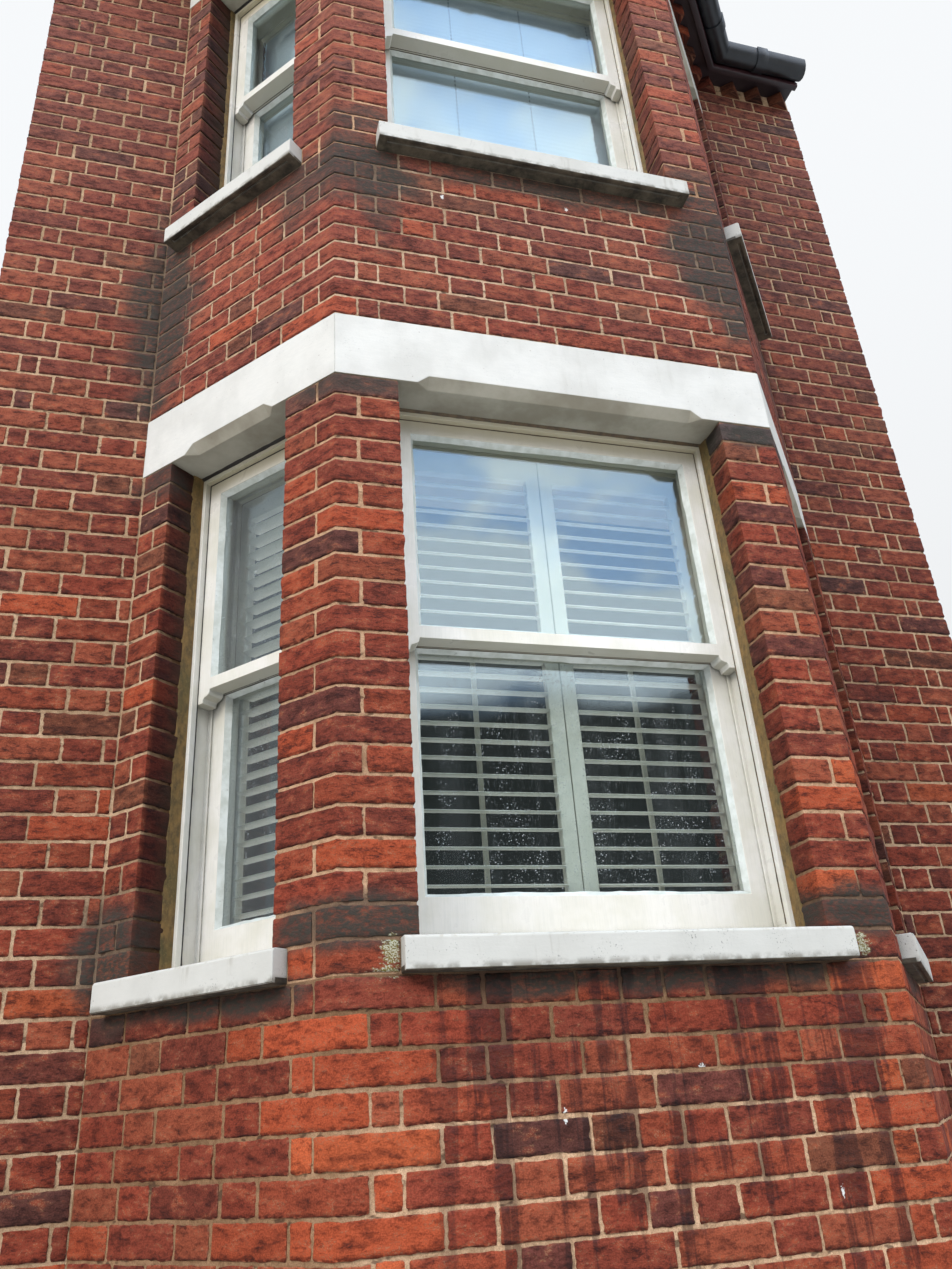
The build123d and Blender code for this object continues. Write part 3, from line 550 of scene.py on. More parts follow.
def glass_material():
    """Clear pane: it lets light pass, reflects more at a glancing angle, and has a film of dried drops."""
    m = bpy.data.materials.new("window_glass")
    m.use_nodes = True
    s = Shade.__new__(Shade)
    s.m, s.t, s.co = m, m.node_tree, None
    s.t.nodes.clear()
    s.out = s.node("ShaderNodeOutputMaterial")
    s.b = None
    p = s.pos()
    clear = s.node("ShaderNodeBsdfTransparent")
    clear.inputs[0].default_value = (0.93, 0.96, 0.95, 1)
    gloss = s.node("ShaderNodeBsdfGlossy")
    gloss.inputs["Color"].default_value = (0.74, 0.90, 1.0, 1)
    gloss.inputs["Roughness"].default_value = 0.02
    wave = s.noise(p, 2.6, 2.0, 0.5)
    s.put(gloss.inputs["Normal"], s.bump(wave, 0.25, 0.004))
    facing = s.node("ShaderNodeLayerWeight")
    facing.inputs["Blend"].default_value = 0.5
    f = s.op("MULTIPLY_ADD", s.op("POWER", facing.outputs["Facing"], 5.0), 0.91, 0.088)
    pane = s.node("ShaderNodeMixShader")
    s.put(pane.inputs[0], f)
    s.t.links.new(clear.outputs[0], pane.inputs[1])
    s.t.links.new(gloss.outputs[0], pane.inputs[2])
    # drops and dust
    drops = s.step(s.vor(p, 105.0), 0.24, 0.12)
    fine = s.step(s.noise(s.vec("MULTIPLY", p, (1.0, 1.0, 0.55)), 300.0, 1.0, 0.6), 0.66, 0.76)
    x, y, z = s.sep(p)
    tall = s.vec("MULTIPLY", p, (1.0, 1.0, 0.12))
    few = s.op("MULTIPLY", s.step(s.noise(p, 14.0, 3.0, 0.6), 0.40, 0.62), s.step(s.noise(tall, 24.0, 2.0), 0.38, 0.56))
    low_sash = s.op("MULTIPLY", s.step(z, 1.98, 2.10), s.step(z, 2.78, 2.70))
    side = s.op("MULTIPLY", s.step(x, -0.75, -0.80), s.step(z, 3.6, 3.5))
    amount = s.op("MULTIPLY_ADD", s.op("MAXIMUM", low_sash, side), 0.80, 0.05)
    film = s.op("MULTIPLY", s.op("MAXIMUM", s.op("MULTIPLY", drops, s.op("MULTIPLY", few, 0.7)), s.op("MULTIPLY", fine, s.step(few, -0.6, 1.0, 0.0, 0.50, False))), amount)
    haze = s.op("MULTIPLY_ADD", s.step(s.noise(tall, 12.0, 3.0, 0.6), 0.42, 0.75), 0.014, 0.002)
    haze = s.op("MULTIPLY_ADD", side, 0.042, haze)
    film = s.op("MAXIMUM", film, haze)
    dust = s.node("ShaderNodeBsdfDiffuse")
    dust.inputs["Color"].default_value = (0.72, 0.75, 0.75, 1)
    final = s.node("ShaderNodeMixShader")
    s.put(final.inputs[0], film)
    s.t.links.new(pane.outputs[0], final.inputs[1])
    s.t.links.new(dust.outputs[0], final.inputs[2])
    s.t.links.new(final.outputs[0], s.out.inputs["Surface"])
    return m


def blind_material():
    """Pale blind cloth with its cord holes in upright dashed lines; loc is (along the wall, up)."""
    s = Shade("blind_fabric", 0.9)
    loc = s.attr("loc", "Vector")
    u, w, _ = s.sep(loc)
    thread = s.noise(s.vec("MULTIPLY", loc, (1.0, 0.05, 1.0)), 900.0, 2.0)
    weft = s.noise(s.vec("MULTIPLY", loc, (0.05, 1.0, 1.0)), 900.0, 2.0)
    c = s.mix(s.step(s.noise(loc, 3.0, 3.0), 0.3, 0.7), lin(206, 216, 226), lin(190, 202, 214))
    c = s.mix(s.op("MULTIPLY", s.op("ADD", thread, weft), 0.20), c, lin(150, 150, 144))
    phase = s.op("FRACT", s.op("MULTIPLY", w, 1 / 0.025))
    dash = s.op("MULTIPLY", s.step(phase, 0.18, 0.24), s.step(phase, 0.84, 0.78))
    near = None
    for k in (-0.493, -0.169, 0.155, 0.479):
        d = s.step(s.op("ABSOLUTE", s.op("ADD", u, -k)), 0.0040, 0.0028)
        near = d if near is None else s.op("MAXIMUM", near, d)
    c = s.mix(s.op("MULTIPLY", s.op("MULTIPLY", dash, near), 0.72), c, lin(58, 68, 82))
    s.b.inputs["Sheen Weight"].default_value = 0.2
    return s.done(c, None, s.bump(s.op("ADD", thread, weft), 0.3, 0.0004))


def cord_material():
    s = Shade("blind_cord", 0.8)
    p = s.pos()
    twist = s.noise(s.vec("MULTIPLY", p, (1, 1, 3.0)), 700.0, 1.0)
    c = s.mix(twist, lin(206, 206, 200), lin(120, 122, 124))
    return s.done(c, None, s.bump(twist, 0.5, 0.0003))


def mastic_material():
    s = Shade("ochre_mastic", 0.8)
    p = s.pos()
    x, y, z = s.sep(p)
    lumps = s.noise(s.xyz(x, y, s.op("MULTIPLY", z, 0.45)), 70.0, 4.0, 0.6)
    c = s.mix(s.step(lumps, 0.3, 0.72), lin(136, 105, 58), lin(92, 74, 44))
    green = s.step(s.noise(p, 8.0, 4.0, 0.6), 0.46, 0.68)
    c = s.mix(s.op("MULTIPLY", green, 0.6), c, lin(82, 76, 42))
    c = s.mix(s.step(s.noise(p, 160.0, 3.0, 0.6), 0.5, 0.75, 0.0, 0.35), c, lin(160, 132, 84))
    return s.done(c, None, s.bump(s.op("MULTIPLY_ADD", s.noise(p, 190.0, 3.0), 0.4, lumps), 0.8, 0.0022))


def caulk_material():
    s = Shade("brown_caulk", 0.6)
    p = s.pos()
    n = s.noise(p, 35.0, 4.0, 0.6)
    c = s.mix(s.step(n, 0.35, 0.7), lin(104, 84, 58), lin(70, 58, 44))
    side = s.step(s.op("ABSOLUTE", s.sep(p)[0]), 0.62, 0.66)
    c = s.mix(s.op("MULTIPLY", side, 0.9), c, lin(22, 19, 17))
    return s.done(c, None, s.bump(s.noise(p, 140.0, 3.0), 0.6, 0.001))


def putty_material():
    s = Shade("painted_putty", 0.4)
    p = s.pos()
    n = s.noise(p, 26.0, 4.0, 0.6)
    c = s.mix(s.step(n, 0.3, 0.7), lin(232, 234, 226), lin(206, 208, 196))
    # darker in the corners from ambient occlusion: dirt with painted shade
    corner = s.step(s.ao(0.015), 0.6, 0.25)
    c = s.mix(s.op("MULTIPLY", corner, 0.5), c, lin(140, 140, 118))
    crack = s.step(s.noise(p, 70.0, 3.0, 0.7), 0.34, 0.28)
    c = s.mix(s.op("MULTIPLY", crack, 0.35), c, lin(96, 92, 76))
    return s.done(c, None, s.bump(s.op("MULTIPLY_ADD", crack, -0.6, s.noise(p, 90.0, 3.0)), 0.5, 0.0012))


def eaves_material():
    s = Shade("eaves_paint", 0.4)
    p = s.pos()
    n = s.noise(p, 6.0, 4.0, 0.6)
    c = s.mix(s.step(n, 0.34, 0.7), lin(44, 26, 30), lin(66, 34, 36))
    worn = s.op("MULTIPLY", s.step(s.noise(p, 40.0, 4.0, 0.7), 0.60, 0.72), s.step(n, 0.4, 0.6))
    c = s.mix(s.op("MULTIPLY", worn, 0.6), c, lin(112, 96, 92))
    # faces turned down painted near black: painted shade
    under = s.step(s.normal_z(), -0.6, -0.9)
    c = s.mix(s.op("MULTIPLY", under, 0.7), c, lin(24, 20, 22))
    return s.done(c, s.step(n, 0.3, 0.7, 0.30, 0.55, False), s.bump(s.noise(p, 120.0, 3.0), 0.4, 0.0008))


def iron_material():
    s = Shade("gutter_iron", 0.38)
    p = s.pos()
    n = s.noise(p, 9.0, 4.0, 0.6)
    c = s.mix(s.step(n, 0.34, 0.7), lin(20, 22, 25), lin(34, 37, 42))
    rust = s.op("MULTIPLY", s.step(s.noise(p, 55.0, 4.0, 0.7), 0.62, 0.72), s.step(n, 0.45, 0.6))
    c = s.mix(s.op("MULTIPLY", rust, 0.7), c, lin(96, 58, 40))
    moss = s.op("MULTIPLY", s.step(s.normal_z(), 0.4, 0.8), s.step(s.noise(p, 22.0, 4.0), 0.42, 0.62))
    c = s.mix(s.op("MULTIPLY", moss, 0.7), c, lin(62, 68, 44))
    return s.done(c, s.step(n, 0.3, 0.7, 0.28, 0.5, False), s.bump(s.noise(p, 150.0, 3.0), 0.45, 0.0009))


def slate_material():
    s = Shade("roof_slate", 0.6)
    col = s.attr("slate_col")
    p = s.pos()
    layers = s.noise(s.vec("MULTIPLY", p, (1, 1, 2.5)), 34.0, 5.0, 0.65)
    c = s.mix(s.step(layers, 0.3, 0.72, 0.0, 0.6), col, s.mix(1.0, col, lin(150, 152, 160), "MULTIPLY"))
    lichen = s.op("MULTIPLY", s.step(s.vor(p, 26.0), 0.26, 0.14), s.step(s.noise(p, 6.0, 3.0), 0.52, 0.64))
    c = s.mix(s.op("MULTIPLY", lichen, 0.7), c, lin(150, 154, 132))
    return s.done(c, s.step(layers, 0.3, 0.7, 0.5, 0.7, False), s.bump(layers, 0.6, 0.002))


def lead_material():
    s = Shade("lead", 0.5, Metallic=0.35)
    p = s.pos()
    n = s.noise(p, 12.0, 5.0, 0.6)
    c = s.mix(s.step(n, 0.3, 0.7), lin(118, 122, 126), lin(86, 90, 94))
    c = s.mix(s.step(s.noise(p, 60.0, 3.0), 0.55, 0.75, 0.0, 0.5), c, lin(160, 162, 160))
    return s.done(c, s.step(n, 0.3, 0.7, 0.4, 0.65, False), s.bump(n, 0.5, 0.003))


def ridge_material():
    s = Shade("hip_tile", 0.75)
    p = s.pos()
    n = s.noise(p, 10.0, 5.0, 0.6)
    c = s.mix(s.step(n, 0.3, 0.7), lin(128, 62, 46), lin(98, 52, 44))
    c = s.mix(s.step(s.noise(p, 70.0, 3.0), 0.5, 0.75, 0.0, 0.5), c, lin(70, 60, 54))
    return s.done(c, None, s.bump(s.noise(p, 160.0, 3.0), 0.6, 0.0015))


def boards_material():
    """Floorboards on top, plastered ceiling below painted darker as shade, joist ends and boards at the cut edge."""
    s = Shade("floor_boards", 0.6)
    p = s.pos()
    x, y, z = s.sep(p)
    row = s.op("DIVIDE", x, 0.12)
    cell = s.op("FLOOR", row)
    gap = s.op("FRACT", row)
    tone = s.noise(s.xyz(s.op("MULTIPLY", cell, 3.7), 0.0, 0.0), 1.0, 0.0)
    grain = s.noise(s.vec("ADD", s.vec("MULTIPLY", p, (1, 0.05, 1)), s.xyz(0.0, s.op("MULTIPLY", cell, 1.3), 0.0)), 130.0, 4.0, 0.6, 0.4)
    wood = s.mix(s.step(tone, 0.35, 0.65), lin(150, 108, 70), lin(176, 134, 90))
    wood = s.mix(s.step(grain, 0.35, 0.70, 0.0, 0.6), wood, lin(104, 70, 44))
    edge = s.op("ADD", s.step(gap, 0.02, 0.008), s.step(gap, 0.98, 0.992), clamp=True)
    wood = s.mix(s.op("MULTIPLY", edge, 0.85), wood, lin(40, 28, 20))
    up = s.step(s.normal_z(), 0.5, 0.8)
    down = s.step(s.normal_z(), -0.5, -0.8)
    joist = s.step(s.op("ABSOLUTE", s.op("ADD", s.op("FRACT", s.op("DIVIDE", x, 0.4)), -0.5)), 0.06, 0.05)
    end = s.mix(joist, lin(74, 58, 44), lin(170, 134, 94))
    c = s.mix(up, end, wood)
    # plaster ceiling below painted darker: painted shade
    plaster = s.mix(s.step(s.noise(p, 6.0, 4.0), 0.3, 0.7), lin(150, 140, 122), lin(126, 117, 100))
    c = s.mix(down, c, plaster)
    h = s.op("MULTIPLY", s.op("MULTIPLY_ADD", edge, -1.0, s.op("MULTIPLY", grain, 0.3)), up)
    return s.done(c, None, s.bump(h, 0.6, 0.0015))


def plaster_material():
    s = Shade("ceiling_plaster", 0.9)
    p = s.pos()
    n = s.noise(p, 5.0, 5.0, 0.6)
    c = s.mix(s.step(n, 0.3, 0.7), lin(226, 223, 214), lin(204, 200, 188))
    crack = s.step(s.vor(s.vec("ADD", p, s.xyz(s.op("MULTIPLY", n, 0.2), 0.0, 0.0)), 3.0, "DISTANCE_TO_EDGE"), 0.006, 0.002)
    c = s.mix(s.op("MULTIPLY", crack, 0.5), c, lin(140, 134, 122))
    return s.done(c, None, s.bump(s.op("MULTIPLY_ADD", crack, -0.5, s.noise(p, 60.0, 3.0)), 0.4, 0.001))


def rafter_material():
    """Sarking boards under the roof covering."""
    s = Shade("roof_boards", 0.75)
    p = s.pos()
    x, y, z = s.sep(p)
    row = s.op("DIVIDE", z, 0.10)
    gap = s.op("FRACT", row)
    grain = s.noise(s.vec("MULTIPLY", p, (0.08, 0.08, 1)), 120.0, 4.0, 0.6)
    c = s.mix(s.step(grain, 0.35, 0.7), lin(138, 106, 74), lin(92, 70, 50))
    edge = s.step(gap, 0.05, 0.02)
    c = s.mix(s.op("MULTIPLY", edge, 0.8), c, lin(34, 26, 20))
    return s.done(c, None, s.bump(s.op("MULTIPLY_ADD", edge, -1.0, grain), 0.5, 0.002))


BRICK = brick_material("old_red_brick")
BRICK_DRIPS = brick_material("old_red_brick_with_paint_drips", True)
MORTAR_APRON = mortar_material("lime_mortar_apron", lin(230, 190, 152), lin(194, 158, 124), 0.75, (0.0, 1.87), True)
MORTAR_SPANDREL = mortar_material("lime_mortar_spandrel", lin(224, 192, 160), lin(196, 164, 134), 0.0, (3.8, 4.6))
MORTAR_PIER = mortar_material("lime_mortar_pier", lin(216, 174, 138), lin(184, 146, 114), 0.0, (1.88, 3.7))
MORTAR = mortar_material("lime_mortar", lin(210, 176, 142), lin(182, 150, 118), 0.0, (1.95, 4.6))
STONE = stone_material()
TIMBER = timber_material()
SHUTTER = shutter_material()
GLASS = glass_material()
BLIND = blind_material()
CORD = cord_material()
MASTIC = mastic_material()
CAULK = caulk_material()
PUTTY = putty_material()
EAVES = eaves_material()
IRON = iron_material()
SLATE = slate_material()
LEAD = lead_material()
RIDGE = ridge_material()
BOARDS = boards_material()
PLASTER = plaster_material()
RAFTERS = rafter_material()


# ---------------------------------------------------------------- mesh building

def make(name, verts, faces, material, smooth=None, attrs=()):
    """A mesh piece in metres that rides with the part."""
    me = bpy.data.meshes.new(name)
    me.from_pydata([tuple(map(float, v)) for v in verts], [], [tuple(map(int, f)) for f in faces])
    me.update()
    for aname, kind, data in attrs:
        a = me.attributes.new(aname, kind, "POINT")
        a.data.foreach_set("color" if kind == "FLOAT_COLOR" else "vector", np.asarray(data, np.float32).ravel())
    me.materials.append(material)
    if smooth is not None:
        me.shade_smooth()
        me.set_sharp_from_angle(angle=math.radians(smooth))
    ob = bpy.data.objects.new(name, me)
    bpy.context.scene.collection.objects.link(ob)
    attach(ob, "root")
    return ob


class Parts:
    """Collects closed solids into one piece."""

    def __init__(self):
        self.v, self.f, self.extra = [], [], []

    def add(self, verts, faces, extra=None):
        k = len(self.v)
        self.v.extend(verts)
        self.f.extend([[k + i for i in f] for f in faces])
        if extra is not None:
            self.extra.extend(extra)


def tube(rings, closed_ends=True):
    """A solid through rings of points with equal counts."""
    n = len(rings[0])
    verts = [p for r in rings for p in r]
    faces = []
    for j in range(len(rings) - 1):
        for i in range(n):
            k = (i + 1) % n
            faces.append([j * n + i, j * n + k, (j + 1) * n + k, (j + 1) * n + i])
    if closed_ends:
        faces.append(list(range(n))[::-1])
        faces.append([(len(rings) - 1) * n + i for i in range(n)])
    return verts, faces


def fix_normals(ob):
    bm = bmesh.new()
    bm.from_mesh(ob.data)
    bmesh.ops.recalc_face_normals(bm, faces=bm.faces)
    bm.to_mesh(ob.data)
    bm.free()
    return ob


class Path:
    """A plan line with the outside on its right; u runs along it, d stands off from it."""

    def __init__(self, pts):
        self.p = np.array(pts, float)
        d = np.diff(self.p, axis=0)
        self.l = np.hypot(d[:, 0], d[:, 1])
        self.t = d / self.l[:, None]
        self.n = np.c_[self.t[:, 1], -self.t[:, 0]]
        self.c = np.r_[0, np.cumsum(self.l)]
        self.m = {}
        for i in range(1, len(self.p) - 1):
            s = self.n[i - 1] + self.n[i]
            self.m[i] = s * 2.0 / (s @ s)

    def at(self, u, d):
        u, d = np.asarray(u, float), np.asarray(d, float)
        k = np.clip(np.searchsorted(self.c, u, side="right") - 1, 0, len(self.l) - 1)
        q = self.p[k] + self.t[k] * (u - self.c[k])[..., None] + self.n[k] * d[..., None]
        for i, m in self.m.items():
            hit = np.abs(u - self.c[i]) < 1e-6
            if hit.any():
                q[hit] = self.p[i] + m * d[hit][:, None]
        return q


RED = [lin(154, 70, 44), lin(148, 64, 42), lin(140, 62, 42), lin(158, 78, 51), lin(134, 61, 43)]
ORANGE = [lin(177, 79, 45), lin(169, 75, 44), lin(184, 87, 49)]
PURPLE = [lin(112, 58, 47), lin(118, 58, 44), lin(101, 57, 47)]
BROWN = [lin(122, 67, 45), lin(132, 74, 50)]


class Bricks:
    def __init__(self, seed, tone=1.0):
        self.tone = tone
        self.r = np.random.RandomState(seed)
        self.v, self.f, self.col, self.fx, self.loc = [], [], [], [], []
        self.count = 0
        self.cache = {}

    def topology(self, nc, nr, corners):
        key = (nc, nr, corners)
        if key in self.cache:
            return self.cache[key]
        g = lambda i, j: j * nc + i
        rim = [g(i, 0) for i in range(nc)] + [g(nc - 1, j) for j in range(1, nr)] \
            + [g(i, nr - 1) for i in range(nc - 2, -1, -1)] + [g(0, j) for j in range(nr - 2, 0, -1)]
        back = {a: nc * nr + k for k, a in enumerate(rim)}
        faces = [[g(i, j), g(i + 1, j), g(i + 1, j + 1), g(i, j + 1)] for j in range(nr - 1) for i in range(nc - 1)]
        for k in range(len(rim)):
            a, b = rim[k], rim[(k + 1) % len(rim)]
            faces.append([a, back[a], back[b], b])
        cuts = [0, *corners, nc - 1]
        for a, b in zip(cuts[:-1], cuts[1:]):
            loop = [g(i, 0) for i in range(a, b + 1)]
            if b == nc - 1:
                loop += [g(b, j) for j in range(1, nr - 1)]
            loop += [g(i, nr - 1) for i in range(b, a - 1, -1)]
            if a == 0:
                loop += [g(0, j) for j in range(nr - 2, 0, -1)]
            faces.append([back[q] for q in loop][::-1])
        self.cache[key] = (np.array(rim), faces)
        return self.cache[key]

    def add(self, path, s0, s1, z0, z1, colour, crease=0.5, proud=3.4):
        r = self.r
        b = r.uniform(2.0, 3.6)
        s0 += r.uniform(-1.6, 1.6)
        s1 += r.uniform(-1.6, 1.6)
        z0 += r.uniform(-1.0, 1.0)
        z1 += r.uniform(-1.2, 1.2)
        if s1 - s0 < 14:
            return
        corners = [c for c in path.c[1:-1] if s0 + 8 < c < s1 - 8]
        inner = list(np.linspace(s0 + b, s1 - b, max(2, int(round((s1 - s0) / 16.0)))))
        us = [s0] + inner + [s1]
        for c in corners:
            us = [u for u in us if abs(u - c) > 6 or u in (s0, s1)] + [c]
        us = sorted(us)
        h = z1 - z0
        zs = [z0, z0 + b, *(z0 + h * np.array((0.2, 0.35, 0.5, 0.65, 0.8))), z1 - b, z1]
        nc, nr = len(us), len(zs)
        rim, faces = self.topology(nc, nr, tuple(us.index(c) for c in corners))
        U, Z = np.meshgrid(us, zs)
        U, Z = U.ravel().copy(), Z.ravel().copy()
        tilt = r.uniform(-0.9, 0.9)
        D = proud + r.normal(0, 0.35, U.size) + tilt * (U - us[0]) / max(s1 - s0, 1) + r.uniform(-0.8, 0.8) \
            + r.uniform(-0.6, 0.6) * (Z - z0) / h
        grid = np.arange(nc * nr)
        ci, ri = grid % nc, grid // nc
        on_rim = np.isin(grid, rim)
        ring2 = ((ci == 1) | (ci == nc - 2) | (ri == 1) | (ri == nr - 2)) & ~on_rim
        D[on_rim] -= r.uniform(1.3, 2.6, on_rim.sum())
        atcorner = np.zeros(U.size, bool)
        for c in corners:
            atcorner |= np.abs(U - c) < 1e-6
        free = on_rim & ~atcorner
        U[free] += np.clip(r.normal(0, 0.9, free.sum()), -2.0, 2.0)
        Z[on_rim] += np.clip(r.normal(0, 0.9, on_rim.sum()), -2.0, 2.0)
        # rounded corners and now and then a chipped arris
        for cc, rr, su, sz in ((0, 0, 1, 1), (nc - 1, 0, -1, 1), (0, nr - 1, 1, -1), (nc - 1, nr - 1, -1, -1)):
            k = rr * nc + cc
            U[k] += su * r.uniform(1.0, 3.2)
            Z[k] += sz * r.uniform(0.8, 2.6)
            D[k] -= r.uniform(0.3, 1.4)
        if r.rand() < 0.45:
            for k in r.choice(rim, r.randint(1, 5), replace=False):
                if not atcorner[k]:
                    ru, rz = k % nc, k // nc
                    U[k] += (3 if ru == 0 else -3 if ru == nc - 1 else 0) * r.uniform(0.4, 1.2)
                    Z[k] += (3 if rz == 0 else -3 if rz == nr - 1 else 0) * r.uniform(0.5, 1.4)
                    D[k] -= r.uniform(1.0, 3.0)
        # pressed hollows and folds on the face
        inside = ~on_rim & ~ring2
        if r.rand() < 0.5 and inside.any():
            cu, cz = r.uniform(s0, s1), r.uniform(z0 + 15, z1 - 15)
            D[inside] -= 1.8 * np.exp(-(((U[inside] - cu) / 34) ** 2 + ((Z[inside] - cz) / 14) ** 2))
        for _ in range(r.randint(0, 4)):
            cz, cu, wide = r.uniform(z0 + 10, z1 - 10), r.uniform(s0, s1), r.uniform(25, 80)
            line = cz + r.uniform(2, 6) * np.sin(U / r.uniform(9, 22) + r.uniform(0, 6))
            D[inside] += (r.uniform(0.5, 1.3) * np.tanh((Z - line) / 4.0) * np.exp(-((U - cu) / wide) ** 2))[inside]
        D[inside | ring2] = np.maximum(D[inside | ring2], 1.0)
        q = path.at(U, D)
        qb = path.at(U[rim], np.full(len(rim), -4.0))
        k = len(self.v)
        V = np.r_[np.c_[q, Z], np.c_[qb, Z[rim]]] * 0.001
        self.v.extend(V.tolist())
        self.f.extend([[k + i for i in f] for f in faces])
        n = len(V)
        fac = r.uniform(0.88, 1.12)
        base = np.array(colour[:3]) * fac * self.tone * 0.93
        pale = 0.26 * min(max((z0 - 3000) / 2600, 0.0), 1.0)
        base = base * (1 - pale) + np.array(lin(150, 118, 108)[:3]) * self.tone * pale
        self.col.extend([[*base, 1.0]] * n)
        e = np.zeros(n)
        e[:nc * nr][on_rim] = 1.0
        e[:nc * nr][ring2] = 0.35
        e[nc * nr:] = 1.0
        seed = r.rand()
        self.fx.extend([[seed, crease, x] for x in e])
        ul, zl = np.r_[U, U[rim]] - s0, np.r_[Z, Z[rim]] - z0
        self.loc.extend(np.c_[ul, zl, np.zeros(n)].__mul__(0.001).tolist())
        self.count += 1

    def colour(self, orange=0.06, purple=0.08, brown=0.05):
        purple, brown = purple * 0.45, brown * 0.8
        x = self.r.rand()
        if x < orange:
            return ORANGE[self.r.randint(len(ORANGE))]
        if x < orange + purple:
            return PURPLE[self.r.randint(len(PURPLE))]
        if x < orange + purple + brown:
            return BROWN[self.r.randint(len(BROWN))]
        return RED[self.r.randint(len(RED))]

    def piece(self, name):
        # soot and painted shade for every brick point
        soot_and_shade_marks = soot_and_painted_shade(np.array(self.v))
        drips = name in ("bricks_apron", "bricks_spandrel", "bricks_pier_lower_left", "bricks_pier_lower_right")
        ob = make(name, self.v, self.f, BRICK_DRIPS if drips else BRICK, 40,
                  (("brick_col", "FLOAT_COLOR", self.col), ("brick_fx", "FLOAT_VECTOR", self.fx),
                   ("brick_loc", "FLOAT_VECTOR", self.loc), ("brick_soot_and_shade", "FLOAT_VECTOR", soot_and_shade_marks)))
        return ob


JOINT = 8.6


def fit(sizes, length):
    """Start and end of each brick, with joints between them, scaled to fill the length."""
    k = (length - JOINT * (len(sizes) - 1)) / sum(sizes)
    out, s = [], 0.0
    for w in sizes:
        out.append([s, s + w * k])
        s += w * k + JOINT
    return out


def bay_course(parity, flip_middle=False):
    """One course round the bay from junction to junction, as stretches of the path."""
    fa = [215, 102, 215, 102, 215, 215, 102, 215]
    if flip_middle:
        fa = [215, 102, 215, 102, 102, 102, 215, 102, 215]
    fb = [61, 56, 215, 102, 215, 215, 102, 215, 56, 61]
    ca, cb = [215, 102, 215, 102, 156], [61, 56, 215, 102, 215, 131]
    front = fa if parity else fb
    side = cb if parity else ca
    right = fit(side, CL - 5)
    left = [[CL - b, CL - a] for a, b in right[::-1]]
    mid = [[a + CL, b + CL] for a, b in fit(front, 2 * X_A)]
    right = [[a + CL + 2 * X_A, b + CL + 2 * X_A] for a, b in right]
    out = left[:-1] + [[left[-1][0], mid[0][1]]] + mid[1:-1] + [[mid[-1][0], right[0][1]]] + right[1:]
    return out


BAY = Path([(-X_J, Y_WALL), (-X_A, Y_FRONT), (X_A, Y_FRONT), (X_J, Y_WALL)])


def laid(c):
    """Lower and upper edge of the bricks in a course: the bed joint lies below them."""
    return c * COURSE + 4.4, (c + 1) * COURSE - 4.4


def near_arris(s, reach=300):
    return min(abs(s - CL), abs(s - CL - 2 * X_A)) < reach


apron = Bricks(11)
for c in range(0, 24):
    z0, z1 = laid(c)
    for a, b in bay_course(c % 2, apron.r.rand() < 0.3):
        mid = (a + b) / 2
        if near_arris(mid, 190) and c > 2:
            col = apron.colour(0.62, 0.02, 0.02)
        elif CL + 150 < mid < CL + 2 * X_A - 150:
            col = apron.colour(0.05, 0.16, 0.06)
        else:
            col = apron.colour(0.07, 0.10, 0.05)
        # brightness per stretch, partly brick tone and partly painted light and shade: lighter at the left arris,
        # darker on the left cant
        apron.tone = 1.13 if abs(mid - CL - 60) < 200 else 0.89 if mid < CL else 1.04 if mid > CL + 2 * X_A - 420 else 0.96
        apron.add(BAY, a, b, z0, z1, col, 0.55 if apron.r.rand() < 0.22 else 0.12)
apron.piece("bricks_apron")

spandrel = Bricks(23)
for c in range(49, 59):
    z0, z1 = laid(c)
    for a, b in bay_course((c + 1) % 2, spandrel.r.rand() < 0.35):
        # left cant lighter: partly brick tone and partly painted light
        spandrel.tone = 1.12 if (a + b) / 2 < CL else 1.0
        spandrel.add(BAY, a, b, z0, z1, spandrel.colour(0.05, 0.09, 0.12), 0.85)
spandrel.piece("bricks_spandrel")


def rp(u, v=0.0):
    return (X_A + TX * u - TY * v, Y_FRONT + TY * u + TX * v)


def mirrored(pts):
    return [(-x, y) for x, y in pts][::-1]


def flipped(spans, length):
    return [[length - b, length - a] for a, b in spans[::-1]]


def pier_bricks(name, c0, c1, seed, left):
    """Bonded corner pier with its two reveals; the first course sits between the sill ends."""
    # left piers darker and right piers lighter: partly brick tone and partly painted light and shade
    w = Bricks(seed, 0.96 if left else 1.06)
    pts = [(UF1, Y_FRONT + 128), (UF1, Y_FRONT), (X_A, Y_FRONT), rp(187), rp(187, 128)]
    foot = [(UF1 + 40, Y_FRONT), (X_A, Y_FRONT), rp(147)]
    shaft_l, foot_l = 128 + 182 + 187 + 128, 142 + 147
    P = Path(mirrored(pts) if left else pts)
    Q = Path(mirrored(foot) if left else foot)
    z0, z1 = laid(c0)
    spans = [[3, 142 + 61], [142 + 71, foot_l - 3]]
    for a, b in (flipped(spans, foot_l) if left else spans):
        w.add(Q, a, b, z0, z1, w.colour(0.30, 0.10, 0.10), 0.4)
    for c in range(c0 + 1, c1):
        z0, z1 = laid(c)
        if c % 2:
            spans = [[9, 374 + w.r.uniform(-4, 4)], [384, shaft_l - 9]]
        else:
            spans = [[9, 239 + w.r.uniform(-4, 4)], [249, shaft_l - 9]]
        for a, b in (flipped(spans, shaft_l) if left else spans):
            col = w.colour(0.16, 0.09, 0.05)
            if c == 45:
                col = lin(116, 70, 58) if left else lin(96, 76, 74)
            w.add(P, a, b, z0, z1, col, 0.7)
    return w.piece(name)


pier_bricks("bricks_pier_lower_left", 24, 46, 31, True)
pier_bricks("bricks_pier_lower_right", 24, 46, 32, False)
pier_bricks("bricks_pier_upper_left", 59, 79, 33, True)
pier_bricks("bricks_pier_upper_right", 59, 79, 34, False)


